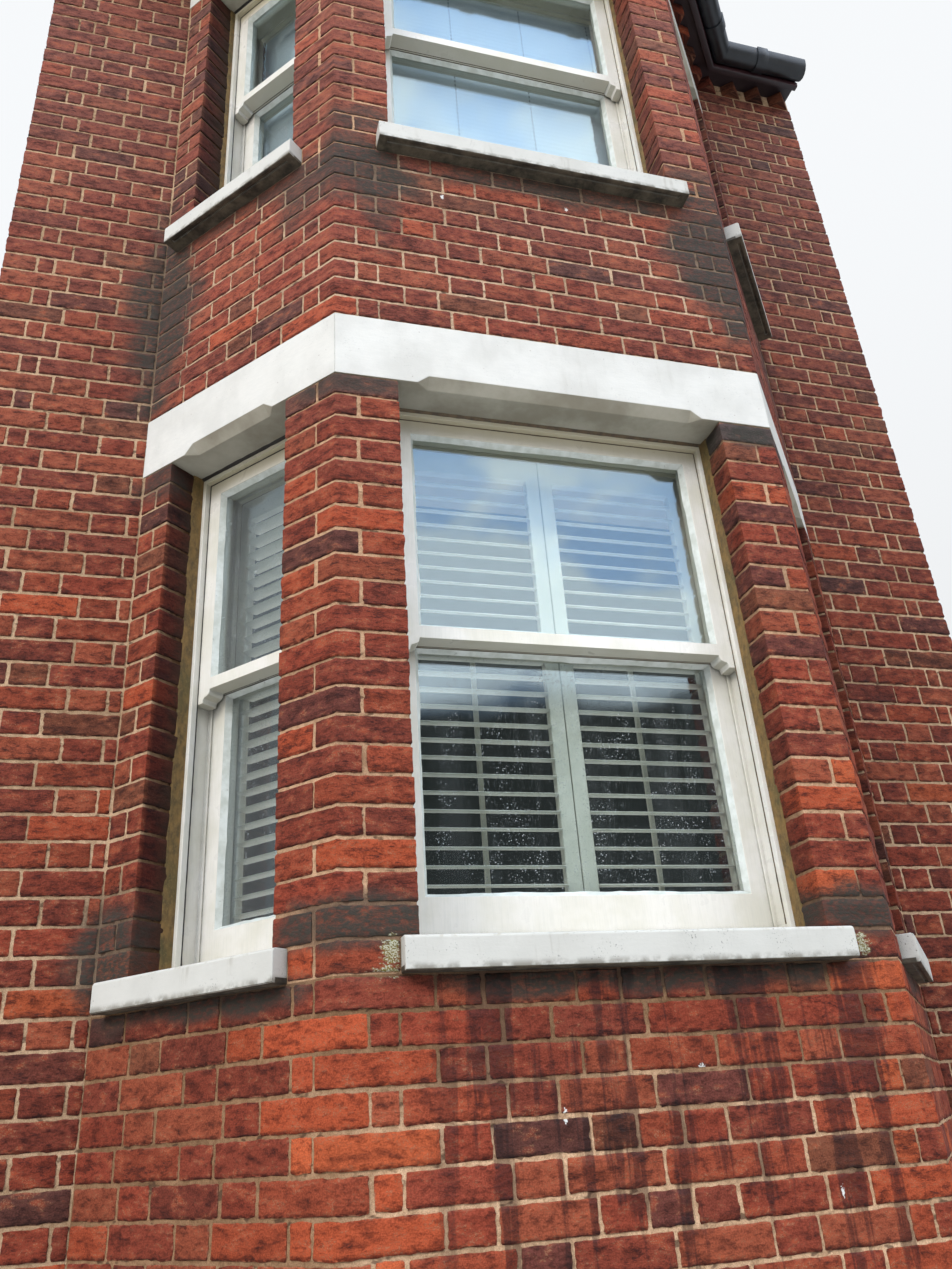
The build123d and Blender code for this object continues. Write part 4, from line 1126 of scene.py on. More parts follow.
def house_bricks(name, seed, left):
    # house walls toned darker, the right one most: painted shade
    w = Bricks(seed, 0.88 if left else 0.76)
    front_l = X_END - X_J
    pts = [(X_J, Y_WALL), (X_END, Y_WALL), (X_END, Y_BACK)]
    P = Path(mirrored(pts) if left else pts)
    L = front_l + (Y_BACK - Y_WALL)
    jamb = [rp(696, 128), rp(696), rp(CL)]
    J = Path(mirrored(jamb) if left else jamb)
    jl = 128 + CL - 696
    horn = [rp(772), rp(CL)]
    K = Path(mirrored(horn) if left else horn)
    kl = CL - 772
    for c in range(0, 82):
        z0, z1 = laid(c)
        if (c + (1 if left else 0)) % 2:
            spans = fit([203, 102, 215 + 102], front_l + 102 - 4)
            spans = [[a + 4, b + 4] for a, b in spans] + [[front_l + 112, L - 3]]
        else:
            spans = fit([31, 102, 215, 50, 102 + 215], front_l + 215 - 4)
            spans = [[a + 4, b + 4] for a, b in spans]
        for a, b in (flipped(spans, L) if left else spans):
            w.add(P, a, b, z0, z1, w.colour(0.05, 0.12, 0.07), 0.6)
        if 25 <= c < 46 or 60 <= c < 79:
            spans = [[9, 128 + 126]] if c % 2 else [[9, 128 + 56], [128 + 66, jl - 6]]
            for a, b in (flipped(spans, jl) if left else spans):
                w.add(J, a, b, z0, z1, w.colour(0.08, 0.20, 0.10), 0.5)
        if c in (24, 59):
            for a, b in [[3, kl - 5]]:
                w.add(K, a, b, z0, z1, w.colour(0.05, 0.3, 0.1), 0.5)
    return w.piece(name)


house_bricks("bricks_house_left", 41, True)
house_bricks("bricks_house_right", 42, False)

# dog-tooth course: headers laid corner outwards under the soffit
WHOLE = Path(PATH)
teeth = Bricks(51)


def tooth(q, t, n, z0, z1, out=48.0, half=54.0):
    """One brick corner standing out of the wall face."""
    r = teeth.r
    out += r.uniform(-4, 3)
    half += r.uniform(-2, 2)
    prof = [(-half, -6), (half, -6), (half * 0.98, 1), (half * 0.50, out * 0.50), (5, out - 3.5), (0, out - 0.8),
            (-5, out - 3.5), (-half * 0.50, out * 0.50), (-half * 0.98, 1)]
    k = len(teeth.v)
    lv = [z0, z0 + 3, (z0 + z1) / 2, z1 - 3, z1]
    inset = [2.0, 0.0, -0.4, 0.0, 2.0]
    m = len(prof)
    for h, ins in zip(lv, inset):
        for a, b in prof:
            b2 = b - ins if b > 0 else b
            jit = r.normal(0, 0.5, 2) if b > 0 else (0, 0)
            x = q + t * (a * (1 - ins / 80) + jit[0]) + n * (b2 + jit[1])
            teeth.v.append([x[0] * 0.001, x[1] * 0.001, h * 0.001])
    for j in range(len(lv) - 1):
        for i in range(m):
            i2 = (i + 1) % m
            teeth.f.append([k + j * m + i, k + j * m + i2, k + (j + 1) * m + i2, k + (j + 1) * m + i])
    teeth.f.append([k + i for i in range(m)][::-1])
    teeth.f.append([k + (len(lv) - 1) * m + i for i in range(m)])
    # dog-tooth bricks darkened: painted shade under the eaves
    col = [c * 0.60 for c in teeth.colour(0.12, 0.15, 0.2)[:3]]
    seed = r.rand()
    for i in range(len(lv) * m):
        teeth.col.append([*(np.array(col[:3])), 1.0])
        teeth.fx.append([seed, 0.4, 0.8 if (i % m) in (3, 4, 5, 6, 7) and (i // m) in (0, 4) else 0.1])
        teeth.loc.append([(i % m) * 0.012, (i // m) * 0.017, 0.0])


for k in range(len(WHOLE.l)):
    L = WHOLE.l[k]
    inset = 60 if k in (0, 4) else 62
    n = max(1, int(round((L - 2 * inset) / 121.0)))
    step = (L - 2 * inset) / n
    for i in range(n + 1):
        s = inset + step * i
        tooth(WHOLE.p[k] + WHOLE.t[k] * s, WHOLE.t[k], WHOLE.n[k], 82 * COURSE + 4, ZE - 2)
fix_normals(teeth.piece("bricks_dogtooth"))


# ------------------------------------------------- softened copies of CAD nodes

def soften(name, nodes, width, segs, material, smooth=38, sharp=24, noise_mm=0.0, seed=0):
    """Copies of CAD nodes with small rounded arrises, which stand for them."""
    bm = bmesh.new()
    for n in nodes:
        bm.from_mesh(NODES[n].data)
    bmesh.ops.remove_doubles(bm, verts=bm.verts, dist=1e-5)
    bmesh.ops.dissolve_limit(bm, angle_limit=math.radians(0.6), verts=bm.verts, edges=bm.edges)
    edges = [e for e in bm.edges if e.is_manifold and e.calc_face_angle(0) > math.radians(sharp)]
    bmesh.ops.bevel(bm, geom=edges, offset=width * 0.001, offset_type="OFFSET", segments=segs, profile=0.5,
                    affect="EDGES", clamp_overlap=True)
    if noise_mm:
        r = np.random.RandomState(seed)
        for v in bm.verts:
            d = r.normal(0, noise_mm * 0.001, 3)
            v.co += Vector(np.clip(d, -2 * noise_mm * 0.001, 2 * noise_mm * 0.001))
    big = [f for f in bm.faces if len(f.verts) > 4]
    bmesh.ops.triangulate(bm, faces=big)
    me = bpy.data.meshes.new(name)
    bm.to_mesh(me)
    bm.free()
    me.materials.clear()
    me.materials.append(material)
    me.shade_smooth()
    me.set_sharp_from_angle(angle=math.radians(smooth))
    ob = bpy.data.objects.new(name, me)
    bpy.context.scene.collection.objects.link(ob)
    weigh = ob.modifiers.new("weigh", "WEIGHTED_NORMAL")
    weigh.keep_sharp = True
    weigh.weight = 100
    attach(ob, "root")
    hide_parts(*nodes)
    return ob


soften("stone_sills_lower", ["sills_lower"], 5.0, 3, STONE, noise_mm=0.25, seed=1)
soften("stone_sills_upper", ["sills_upper"], 5.0, 3, STONE, noise_mm=0.25, seed=2)
soften("stone_lintel_lower_front", ["lintel_lower_front"], 2.5, 2, STONE)
soften("stone_lintels_lower_sides", ["lintels_lower_sides"], 2.5, 2, STONE)
soften("stone_lintel_upper_front", ["lintel_upper_front"], 2.5, 2, STONE)
soften("stone_lintels_upper_sides", ["lintels_upper_sides"], 2.5, 2, STONE)
for n in ("sash_box_ground_front", "sash_boxes_ground_sides", "sash_box_first_front", "sash_boxes_first_sides"):
    soften(n + "_painted", [n], 1.6, 2, TIMBER)
for n in ("top_sashes_ground", "bottom_sashes_ground", "top_sashes_first", "bottom_sashes_first"):
    soften(n + "_painted", [n], 1.8, 2, TIMBER)
soften("window_boards_painted", ["window_boards"], 3.0, 2, TIMBER)
soften("shutter_frames_painted", ["shutter_frames_ground"], 2.0, 2, SHUTTER)
soften("gutter_bay_front_iron", ["gutter_bay_front"], 0.8, 1, IRON, 50, 60)
soften("gutters_bay_sides_iron", ["gutters_bay_sides"], 0.8, 1, IRON, 50, 60)
soften("gutters_house_wall_iron", ["gutters_house_wall"], 0.8, 1, IRON, 50, 60)
soften("fascia_board", ["fascia"], 2.0, 2, EAVES)
soften("eaves_moulding_painted", ["eaves_moulding"], 0.8, 1, EAVES, 50, 60)

# ----------------------------------------------------------- putty round panes
rng = np.random.RandomState(77)
putty = Parts()


def putty_ring(f, u0, u1, v, z0, z1, depth=18.5, lap=11.0):
    """Sloping putty from the sash face in to the glass, with an uneven painted edge on the glass."""
    corners = [(u0, z0), (u1, z0), (u1, z1), (u0, z1)]
    inward = [(1, 1), (-1, 1), (-1, -1), (1, -1)]
    rings = []
    for k in range(4):
        a, b = corners[k], corners[(k + 1) % 4]
        ia, ib = inward[k], inward[(k + 1) % 4]
        n = max(6, int(math.hypot(b[0] - a[0], b[1] - a[1]) / 22))
        wob = 0.0
        for i in range(n):
            t = i / n
            wob = 0.72 * wob + rng.normal(0, 0.9)
            e = lap + np.clip(wob, -1.8, 3.2)
            cu, cz = a[0] + (b[0] - a[0]) * t, a[1] + (b[1] - a[1]) * t
            # at a corner the offset is diagonal, along a side it is square to the side
            if i == 0:
                du, dz = ia[0] * e, ia[1] * e
            elif k in (0, 2):
                du, dz = 0, (1 if k == 0 else -1) * e
            else:
                du, dz = (-1 if k == 1 else 1) * e, 0
            if i > 0:
                m = min(t, 1 - t) * math.hypot(b[0] - a[0], b[1] - a[1])
                if m < e:
                    continue
            rings.append([f.p(cu, v - depth, cz), f.p(cu + du, v - 0.3, cz + dz), f.p(cu, v - 0.3, cz)])
    n = len(rings)
    verts = [p for r in rings for p in r]
    faces = []
    for j in range(n):
        j2 = (j + 1) % n
        for i in range(3):
            i2 = (i + 1) % 3
            faces.append([j * 3 + i, j * 3 + i2, j2 * 3 + i2, j2 * 3 + i])
    putty.add(verts, faces)


for f, u0, u1, z0, z1, m in WINDOWS:
    su0, su1 = u0 + 11 + 59, u1 - 11 - 59
    putty_ring(f, su0, su1, 169, z0 + m + 19, z1 - 21 + 11 - 59)
    putty_ring(f, su0, su1, 233, z0 + 40 + 1 + 94, z0 + m - 19)
fix_normals(make("putty_fillets", putty.v, putty.f, PUTTY, 30))

# ------------------------------------------- mastic down the reveals, caulk at the heads
mastic, caulk = Parts(), Parts()
for f, u0, u1, z0, z1, m in WINDOWS:
    for side, u in ((1, u0), (-1, u1)):
        rings = []
        n = int((z1 - z0) / 26)
        wob = 0.0
        for i in range(n + 1):
            z = z0 + 1 + (z1 - z0 - 2) * i / n
            wob = 0.7 * wob + rng.normal(0, 1.3)
            w = (88 if z0 < 3000 else 108) + np.clip(wob, -5, 5)
            k = rng.normal(0, 0.5)
            rings.append([f.p(u - side * 2, w, z), f.p(u + side * (4.3 + k * 0.5), w + 2, z), f.p(u + side * (6.0 + k), max(103, w + 6), z),
                          f.p(u + side * (7.5 + k), 118, z), f.p(u + side * 9.5, 128.4, z), f.p(u - side * 2, 128.4, z)])
        mastic.add(*tube(rings))
    rings = []
    n = int((u1 - u0) / 24)
    for i in range(n + 1):
        u = u0 + 2 + (u1 - u0 - 4) * i / n
        k = rng.normal(0, 0.5)
        rings.append([f.p(u, 128.4, z1 + 1), f.p(u, 120 + k, z1 + 1), f.p(u, 121.5 + k, z1 - 3.5), f.p(u, 125 + k, z1 - 6.5), f.p(u, 128.4, z1 - 8 + k)])
    caulk.add(*tube(rings))
fix_normals(make("reveal_mastic", mastic.v, mastic.f, MASTIC, 50))
fix_normals(make("head_caulk", caulk.v, caulk.f, CAULK, 50))

# ------------------------------------- dark beads in the gaps between the sash and its lining: painted shadow lines with dirt
gap_shadow_and_grime = Parts()
for f, u0, u1, z0, z1, m in WINDOWS:
    for side, u in ((1, u0 + 22), (-1, u1 - 22)):
        rings = []
        n = int((z1 - z0 - 62) / 30)
        for i in range(n + 1):
            z = z0 + 40 + (z1 - z0 - 62) * i / n
            k = abs(rng.normal(0, 0.5))
            rings.append([f.p(u - side * 0.6, 147.2, z), f.p(u + side * (1.3 + k), 147.6, z), f.p(u + side * (1.9 + k), 149.4, z), f.p(u - side * 0.6, 149.4, z)])
        gap_shadow_and_grime.add(*tube(rings))
    rings = []
    n = int((u1 - u0 - 44) / 30)
    for i in range(n + 1):
        u = u0 + 22 + (u1 - u0 - 44) * i / n
        k = abs(rng.normal(0, 0.5))
        rings.append([f.p(u, 147.2, z1 - 20.4), f.p(u, 147.6, z1 - 22.4 - k), f.p(u, 149.4, z1 - 23.0 - k), f.p(u, 149.4, z1 - 20.4)])
    gap_shadow_and_grime.add(*tube(rings))
# dark beads along the meeting rails: painted shadow lines with dirt
for f, u0, u1, z0, z1, m in WINDOWS:
    for v in (204.6, 213.2):
        rings = []
        n = int((u1 - u0 - 70) / 30)
        for i in range(n + 1):
            u = u0 + 35 + (u1 - u0 - 70) * i / n
            k = abs(rng.normal(0, 0.5))
            z = z0 + m - 19
            rings.append([f.p(u, v - 0.9, z + 3), f.p(u, v - 1.0, z - 0.6 - k), f.p(u, v + 1.0 + k, z - 0.6), f.p(u, v + 1.2, z + 3)])
        gap_shadow_and_grime.add(*tube(rings))
fix_normals(make("sash_gap_shadow_and_grime", gap_shadow_and_grime.v, gap_shadow_and_grime.f, CAULK, 50))

# ------------------------------------------------------- louvres in the shutters
blades, rods = Parts(), Parts()
PITCH, TILT = 51.0, math.radians(10)


def louvre_leaf(f, u0, u1):
    base = TILT if f is FRONT else math.radians(3)
    a, b = u0 + 44 + 1.0, u1 - 44 - 1.0
    for k in range(26):
        z = 2080 + PITCH * k + rng.uniform(-0.6, 0.6)
        tilt = (math.radians(25) if f is FRONT and z > 2790 else base) + rng.uniform(-0.02, 0.02)
        sec = []
        for i in range(14):
            t = 2 * math.pi * i / 14
            w, h = 28.5 * math.cos(t), 4.6 * math.sin(t) * (0.55 + 0.45 * abs(math.sin(t)))
            sec.append((305 + w * math.cos(tilt) - h * math.sin(tilt), z + w * math.sin(tilt) + h * math.cos(tilt)))
        rings = [[f.p(u, v, h) for v, h in sec] for u in (a, a + 1.5, b - 1.5, b)]
        # slightly smaller ends
        for e in (0, 3):
            c = np.mean(rings[e], axis=0)
            rings[e] = [tuple(c + (np.array(q) - c) * 0.86) for q in rings[e]]
        blades.add(*tube(rings))
    u = (u0 + u1) / 2
    ring = []
    top = 2790.0 if f is FRONT else 3388.0
    for z in (2046.0, 2048.0, top - 2, top):
        g = 0.8 if z in (2046.0, top) else 1.0
        ring.append([f.p(u + du * g, 341 + dv * g, z) for du, dv in ((-7, -4), (-5.5, -6), (5.5, -6), (7, -4), (7, 4), (5.5, 6), (-5.5, 6), (-7, 4))])
    rods.add(*tube(ring))


for f, a, b in ((FRONT, -509.0, -1.5), (FRONT, 1.5, 509.0), (RIGHT, 207.0, 676.0), (LEFT, 207.0, 676.0)):
    louvre_leaf(f, a, b)
lv = fix_normals(make("shutter_louvres", blades.v, blades.f, SHUTTER, 45))
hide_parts("shutter_louvres_ground")
fix_normals(make("shutter_tilt_rods", rods.v, rods.f, SHUTTER, 35))

# ----------------------------------------------------------------------- blinds

def blind(name, f, u0, u1, v=296.0, z0=4606.0, z1=5984.0, t=0.9):
    """Pleated cloth sheet hung behind the sashes."""
    nz, nu = 112, 12
    verts, faces, loc = [], [], []
    for side in (0, 1):
        for j in range(nz + 1):
            z = z0 + (z1 - z0) * j / nz
            amp = 0.35 if j % 2 else -0.35
            for i in range(nu + 1):
                u = u0 + (u1 - u0) * i / nu
                edge = 1.0 * math.sin(i * 2.1 + j * 0.05) * (1 if 0 < i < nu else 0.3)
                verts.append(f.p(u, v + amp + 0.25 * edge + side * t, z))
                loc.append([u * 0.001, z * 0.001, side * 0.001])
    m = (nz + 1) * (nu + 1)
    g = lambda i, j: j * (nu + 1) + i
    for j in range(nz):
        for i in range(nu):
            q = [g(i, j), g(i + 1, j), g(i + 1, j + 1), g(i, j + 1)]
            faces.append(q)
            faces.append([m + k for k in q[::-1]])
    for j in range(nz):
        faces.append([g(0, j), g(0, j + 1), m + g(0, j + 1), m + g(0, j)])
        faces.append([g(nu, j + 1), g(nu, j), m + g(nu, j), m + g(nu, j + 1)])
    for i in range(nu):
        faces.append([g(i + 1, 0), g(i, 0), m + g(i, 0), m + g(i + 1, 0)])
        faces.append([g(i, nz), g(i + 1, nz), m + g(i + 1, nz), m + g(i, nz)])
    ob = fix_normals(make(name, verts, faces, BLIND, None, (("loc", "FLOAT_VECTOR", loc),)))
    length = (z1 - z0) / nz * 0.0
    return ob


rails = Parts()


def bar(parts, f, u0, u1, va, vb, za, zb, r=2.0):
    """A bar with rounded arrises along the wall."""
    sec = [(va + r, za), (vb - r, za), (vb, za + r), (vb, zb - r), (vb - r, zb), (va + r, zb), (va, zb - r), (va, za + r)]
    rings = [[f.p(u, v, z) for v, z in sec] for u in (u0, u0 + r, u1 - r, u1)]
    for e in (0, 3):
        c = np.mean(rings[e], axis=0)
        rings[e] = [tuple(c + (np.array(q) - c) * 0.88) for q in rings[e]]
    parts.add(*tube(rings))


for f, a, b in ((FRONT, -499.0, 499.0), (RIGHT, 217.0, 666.0), (LEFT, 217.0, 666.0)):
    bar(rails, f, a, b, 291.5, 309, 5978, 6000)
    bar(rails, f, a, b, 292.5, 303, 4606, 4620)
fix_normals(make("blind_rails", rails.v, rails.f, SHUTTER, 35))
blinds = [blind("blind_front", FRONT, -499.0, 499.0), blind("blind_right", RIGHT, 217.0, 666.0), blind("blind_left", LEFT, 217.0, 666.0)]
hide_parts("blinds_first")

# ------------------------------------------------------------------- roof details
tan_p, cos_p = math.tan(math.radians(40)), math.cos(math.radians(40))


def mitre(path, off):
    P = Path(path)
    out = [P.p[0] + P.n[0] * off]
    for i in range(1, len(path) - 1):
        out.append(P.p[i] + P.m[i] * off)
    out.append(P.p[-1] + P.n[-1] * off)
    return out


E = mitre(PATH, 130.0)
ZR = ZE + 60.0 + 45.0 / cos_p - 20.0 * tan_p
h_back = Y_BACK - E[3][1]
x_hip = E[3][0] + (h_back - h_back * TX) / -TY
d_main = Y_BACK - E[4][1]
x_val = E[3][0] + (d_main - h_back * TX) / -TY


def clip(poly, a, b):
    """What of a convex polygon is left of the line a to b."""
    out = []
    d = b - a
    side = [d[0] * (p[1] - a[1]) - d[1] * (p[0] - a[0]) for p in poly]
    for i in range(len(poly)):
        j = (i + 1) % len(poly)
        if side[i] >= 0:
            out.append(poly[i])
        if (side[i] > 0 and side[j] < 0) or (side[i] < 0 and side[j] > 0):
            t = side[i] / (side[i] - side[j])
            out.append(poly[i] + (poly[j] - poly[i]) * t)
    return out


slates = Parts()
SLATES = [lin(84, 88, 98), lin(96, 100, 108), lin(74, 78, 88), lin(104, 100, 104), lin(88, 84, 92)]


def slate_slope(corners, base, normal, trims):
    """Rows of slates on one slope; trims give how far they stay from each edge of its outline."""
    r = rng
    along = np.array([-normal[1], normal[0]])
    if along @ (np.array(corners[1]) - np.array(corners[0])) < 0:
        along = -along
    base = np.array(base)
    to2 = lambda p: np.array([(np.array(p) - base) @ along, ((np.array(p) - base) @ normal) / cos_p])
    poly = [to2(p) for p in corners]
    area = sum(poly[i][0] * poly[(i + 1) % 4][1] - poly[(i + 1) % 4][0] * poly[i][1] for i in range(4))
    if area < 0:
        poly = poly[::-1]
        trims = [trims[2], trims[1], trims[0], trims[3]]
    lines = []
    for i in range(4):
        a, b = poly[i], poly[(i + 1) % 4]
        d = (b - a) / np.linalg.norm(b - a)
        nrm = np.array([-d[1], d[0]])
        lines.append((a + nrm * trims[i], b + nrm * trims[i]))
    lo, hi = min(p[0] for p in poly) - 300, max(p[0] for p in poly) + 300
    rows = int(max(p[1] for p in poly) / 195) + 2
    for k in range(rows):
        b0, b1 = k * 195 - 12, k * 195 + 192
        x = lo + (125 if k % 2 else 0)
        while x < hi:
            w = 250
            dx = r.uniform(-1.5, 1.5)
            dy = r.uniform(-2.0, 2.0)
            q = [np.array([x + 1.2 + dx, b0 + dy]), np.array([x + w - 1.2 + dx, b0 + dy]),
                 np.array([x + w - 1.2 + dx, b1]), np.array([x + 1.2 + dx, b1])]
            for a, b in lines:
                if len(q) >= 3:
                    q = clip(q, a, b)
            x += w
            if len(q) < 3:
                continue
            ar = abs(sum(q[i][0] * q[(i + 1) % len(q)][1] - q[(i + 1) % len(q)][0] * q[i][1] for i in range(len(q)))) / 2
            if ar < 900:
                continue
            lift = r.uniform(-0.5, 1.2)
            top, bot = [], []
            for p in q:
                t = (p[1] - b0) / (b1 - b0)
                hgt = 9.0 + lift - 8.0 * t
                for lst, hh in ((top, hgt), (bot, -1.5)):
                    xy = base + along * p[0] + normal * (p[1] * cos_p - hh * math.sin(math.radians(40)))
                    zz = ZR + p[1] * math.sin(math.radians(40)) + hh * cos_p
                    lst.append((xy[0] * 0.001, xy[1] * 0.001, zz * 0.001))
            n = len(q)
            faces = [list(range(n)), [n + i for i in range(n)][::-1]] + [[i, n + i, n + (i + 1) % n, (i + 1) % n] for i in range(n)]
            col = np.array(SLATES[r.randint(len(SLATES))][:3]) * r.uniform(0.85, 1.15)
            slates.add(top + bot, faces, [[*col, 1.0]] * (2 * n))


XH = abs(x_hip)
slate_slope([E[2], E[3], (XH, Y_BACK), (-XH, Y_BACK)], E[3], np.array([0.0, 1.0]), [-14, 8, 1, 8])
for sgn in (1, -1):
    m = lambda p: (p[0] * sgn, p[1])
    slate_slope([m(E[3]), m(E[4]), m((x_val, Y_BACK)), m((XH, Y_BACK))], m(E[3]), np.array([-TY * sgn, TX]), [-14, 38, 1, 8])
    slate_slope([m(E[4]), m(E[5]), m((X_END, Y_BACK)), m((x_val, Y_BACK))], m(E[4]), np.array([0.0, 1.0]), [-14, 1, 1, 38])
sl = make("roof_slates", slates.v, slates.f, SLATE, None, (("slate_col", "FLOAT_COLOR", slates.extra),))
fix_normals(sl)


def along3(a, b, t):
    return np.array(a) + (np.array(b) - np.array(a)) * t


hips = Parts()
for sgn in (1, -1):
    a = np.array([E[3][0] * sgn, E[3][1], ZR])
    b = np.array([XH * sgn, Y_BACK, ZR + h_back * tan_p])
    d = (b - a) / np.linalg.norm(b - a)
    side = np.cross(d, (0, 0, 1))
    side /= np.linalg.norm(side)
    up = np.cross(side, d)
    total = np.linalg.norm(b - a)
    n = int(total // 300) + 1
    for k in range(n):
        s0 = -10 + k * total / n
        s1 = s0 + total / n + 24
        s1 = min(s1, total - 1)
        rings = []
        for s, gr in ((s0, 1.0), (s0 + 3, 1.03), (s1 - 3, 0.93), (s1, 0.91)):
            o = a + d * s
            ring = []
            for i in range(9):
                t = math.pi * i / 8
                ring.append(o + side * math.cos(t) * 78 * gr + up * (math.sin(t) * 46 * gr - 26))
            for i in range(8, -1, -1):
                t = math.pi * i / 8
                ring.append(o + side * math.cos(t) * 66 * gr + up * (math.sin(t) * 36 * gr - 30))
            ring = [(q[0] * 0.001, min(q[1], Y_BACK) * 0.001, q[2] * 0.001) for q in ring]
            rings.append(ring)
        hips.add(*tube(rings))
fix_normals(make("hip_tiles", hips.v, hips.f, RIDGE, 40))

valleys = Parts()
for sgn in (1, -1):
    a = np.array([E[4][0] * sgn, E[4][1], ZR])
    b = np.array([x_val * sgn, Y_BACK, ZR + d_main * tan_p])
    rings = []
    for t in (0.0, 0.33, 0.66, 0.999):
        o = a + (b - a) * t
        n1 = np.array([-TY * sgn, TX])
        n2 = np.array([0.0, 1.0])
        # two wings, each in its slope's plane, 95 mm wide in plan
        along1 = np.array([TX * sgn, TY])
        along2 = np.array([1.0 * sgn, 0.0])
        w1 = o + np.array([*(-along1 * 95), 0]) if t < 0.99 else o + np.array([*(-np.array([1.0 * sgn, 0]) * 95), 0.0]) * np.array([1, 1, 1])
        if t >= 0.99:
            w1[2] = ZR + ((w1[:2] - np.array([E[3][0] * sgn, E[3][1]])) @ n1) * tan_p
        w2 = o + np.array([*(along2 * 95), 0])
        ring = [w1 + (0, 0, 2.5), o + (0, 0, 3.5), w2 + (0, 0, 2.5), w2 + (0, 0, -1), o + (0, 0, -1), w1 + (0, 0, -1)]
        rings.append([(q[0] * 0.001, q[1] * 0.001, q[2] * 0.001) for q in ring])
    valleys.add(*tube(rings))
fix_normals(make("valley_lead", valleys.v, valleys.f, LEAD, 60))

# ----------------------------------------------- gutter collars
iron = Parts()
FD, GR, GZ = 110.0, 51.0, ZE + 34.0


def gutter_ring(parts, k, s0, s1, grow, low=0.0):
    """A raised band round the outside of the gutter on stretch k of the path."""
    prof = []
    for i in range(13):
        a = math.pi + math.pi * i / 12
        prof.append((FD + GR + (GR + grow) * math.cos(a), GZ + (68 + grow) * math.sin(a) - low))
    prof = [(FD + 0.5, GZ + 10)] + [(max(p[0], FD + 0.5), p[1]) for p in prof] + [(FD + 2 * GR + grow, GZ + 14)]
    inner = [(min(max(FD + GR + (p[0] - FD - GR) * 0.90, FD + 3), FD + 2 * GR - 3), GZ + (p[1] - GZ) * 0.90) for p in prof[::-1]]
    sec = prof + inner
    rings = []
    for s, g in ((s0, 0.6), (s0 + 2, 1.0), (s1 - 2, 1.0), (s1, 0.6)):
        o, t, n = WHOLE.p[k], WHOLE.t[k], WHOLE.n[k]
        ring = []
        for i, (d, z) in enumerate(sec):
            if i < len(prof) and g < 1:
                d = FD + GR + (d - FD - GR) * 0.975 if d > FD + 1 else d
            q = o + t * s + n * d
            ring.append((q[0] * 0.001, q[1] * 0.001, z * 0.001))
        rings.append(ring)
    parts.add(*tube(rings))


# stretches: 0 and 4 on the house wall, 1 and 3 beside the bay, 2 on its front
for k, spots in ((2, (160, 711, 1262)), (1, (230, 640)), (3, (190, 600)), (0, (250,)), (4, (290,))):
    for s in spots:
        gutter_ring(iron, k, s - 30, s + 30, 6.0)
ic = fix_normals(make("gutter_collars", iron.v, iron.f, IRON, 45))

# --------------------------------------------------------- CAD nodes that stay

def dress(material, *names):
    for n in names:
        ob = NODES[n]
        if not ob.material_slots:
            ob.data.materials.append(material)
        for sl_ in ob.material_slots:
            sl_.material = material


dress(MORTAR_APRON, "apron_wall_front", "apron_wall_left", "apron_wall_right")
dress(MORTAR_SPANDREL, "spandrel_wall_front", "spandrel_wall_left", "spandrel_wall_right")
dress(MORTAR_PIER, "pier_lower_left", "pier_lower_right", "pier_upper_left", "pier_upper_right")
dress(MORTAR, "house_wall_left", "house_wall_right", "dogtooth_course", "eaves_filling")
dress(GLASS, "window_glass")
dress(BOARDS, "ground_floor", "first_floor")
dress(PLASTER, "bay_ceiling")
dress(EAVES, "soffit")
dress(RAFTERS, "roof_slope_front", "roof_slopes_sides", "main_roof_slopes")

# ------------------------------------------------------------ floor, light, camera
bpy.ops.mesh.primitive_plane_add(size=60, location=(0, 0, -0.001))
floor = bpy.context.object
floor.name = "studio_floor"
fs = Shade("studio_floor", 0.95)
fs.b.inputs["Specular IOR Level"].default_value = 0.1
fc = fs.mix(fs.step(fs.noise(fs.pos(), 9.0, 2.0), 0.3, 0.7), lin(196, 194, 189), lin(193, 191, 186))
floor.data.materials.append(fs.done(fc))

world = bpy.data.worlds.new("studio")
bpy.context.scene.world = world
world.use_nodes = True
wt = world.node_tree
wt.nodes.clear()
ws = Shade.__new__(Shade)
ws.t, ws.co = wt, None
wout = ws.node("ShaderNodeOutputWorld")
bg = ws.node("ShaderNodeBackground")
wt.links.new(bg.outputs[0], wout.inputs[0])
d = ws.node("ShaderNodeTexCoord").outputs["Generated"]
dx, dy, dz = ws.sep(d)
# a broad bright bank of light high in front, mottled from blue to white, dim low down and behind
mottle = ws.noise(ws.vec("MULTIPLY", d, (1.0, 1.0, 1.7)), 5.2, 3.0, 0.58)
bank = ws.mix(ws.step(mottle, 0.43, 0.56), (1.60, 2.12, 2.98, 1), (3.12, 3.18, 3.26, 1))
edge = ws.op("MULTIPLY_ADD", mottle, 0.16, -0.08)
high = ws.step(ws.op("ADD", dz, edge), 0.35, 0.43)
front = ws.step(dy, 0.10, -0.30)
low = ws.mix(ws.step(dz, -0.05, 0.28), (0.30, 0.30, 0.29, 1), (0.05, 0.06, 0.05, 1))
behind = ws.mix(ws.step(dz, 0.30, 0.80), (0.16, 0.165, 0.17, 1), (0.70, 0.75, 0.82, 1))
col = ws.mix(front, behind, ws.mix(high, low, bank))
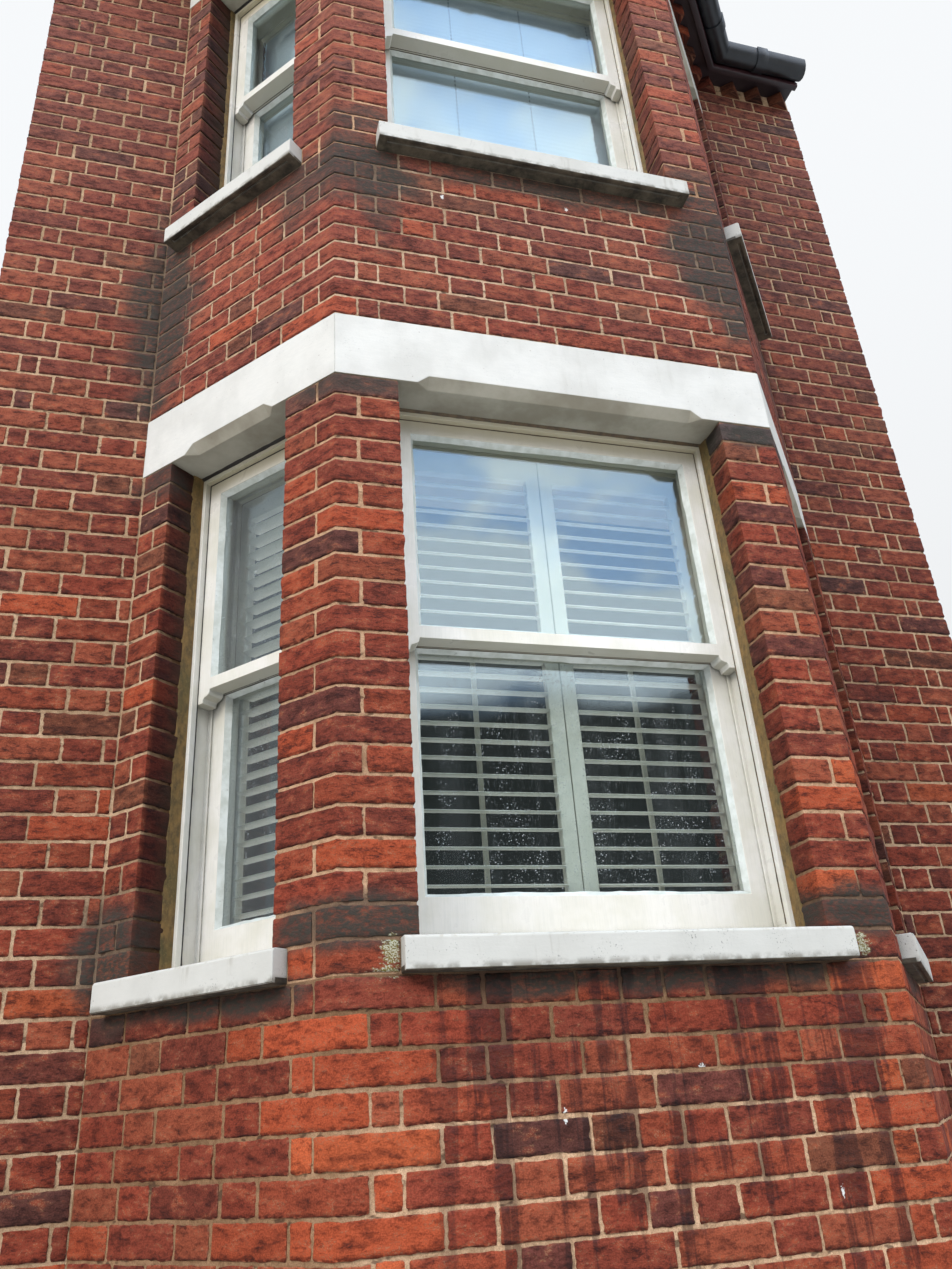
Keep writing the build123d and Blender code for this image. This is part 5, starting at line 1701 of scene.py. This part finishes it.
# what the camera sees past the object is a plain pale backdrop
path = ws.node("ShaderNodeLightPath")
direct = ws.op("MULTIPLY", path.outputs["Is Camera Ray"], ws.op("LESS_THAN", path.outputs["Transparent Depth"], 0.5))
past_glass = ws.op("MULTIPLY", path.outputs["Is Camera Ray"], ws.op("GREATER_THAN", path.outputs["Transparent Depth"], 0.5))
# seen through the glass towards the back the backdrop is near black: painted shade for the room inside
col = ws.mix(ws.op("MULTIPLY", past_glass, ws.step(dy, -0.1, 0.2)), col, (0.012, 0.012, 0.012, 1))
col = ws.mix(direct, col, ws.mix(ws.step(dz, 0.0, 0.8), (0.80, 0.81, 0.82, 1), (0.93, 0.95, 0.97, 1)))
ws.put(bg.inputs[0], col)
bg.inputs[1].default_value = 1.0


def area(name, loc, look, size, power, colour=(1, 1, 1)):
    L = bpy.data.lights.new(name, "AREA")
    L.shape = "RECTANGLE"
    L.size, L.size_y = size
    L.energy = power
    L.color = colour
    o = bpy.data.objects.new(name, L)
    o.location = loc
    o.rotation_euler = (Vector(look) - Vector(loc)).to_track_quat("-Z", "Y").to_euler()
    bpy.context.scene.collection.objects.link(o)
    return o


area("key", (-8.5, -6.5, 8.0), (0, 0, 3.2), (5, 5), 570, (1.0, 0.95, 0.89))
area("fill", (7.5, -6.0, 6.0), (0, 0, 3.0), (5, 4), 60, (1.0, 0.96, 0.9))
room = area("room", (0.0, 0.95, 1.1), (0.0, 0.0, 2.7), (1.5, 0.5), 8, (1.0, 0.97, 0.92))
room.visible_camera = room.visible_glossy = False
area("back", (2.5, 6.0, 12.0), (0, 0.4, 3.5), (6, 5), 300, (0.97, 0.98, 1.0))

scene = bpy.context.scene
scene.view_settings.view_transform = "Standard"
scene.cycles.max_bounces = 4
scene.cycles.diffuse_bounces = 1
scene.cycles.glossy_bounces = 2
scene.cycles.transparent_max_bounces = 8
cam_data = bpy.data.cameras.new("camera")
cam_data.sensor_fit = "AUTO"
cam_data.sensor_width = 36.0
cam_data.lens = 28.168
cam_data.clip_start = 0.05
cam = bpy.data.objects.new("camera", cam_data)
scene.collection.objects.link(cam)
R = Vector((0.96308, -0.26125, -0.06506)).normalized()
Fv = Vector((0.26262, 0.85842, 0.44063)).normalized()
U = R.cross(Fv).normalized()
M = Matrix((R, U, -Fv)).transposed().to_4x4()
M.translation = Vector((-1.0289, -2.5675, 1.5189))
cam.matrix_world = M
scene.camera = cam

bpy.context.view_layer.update()
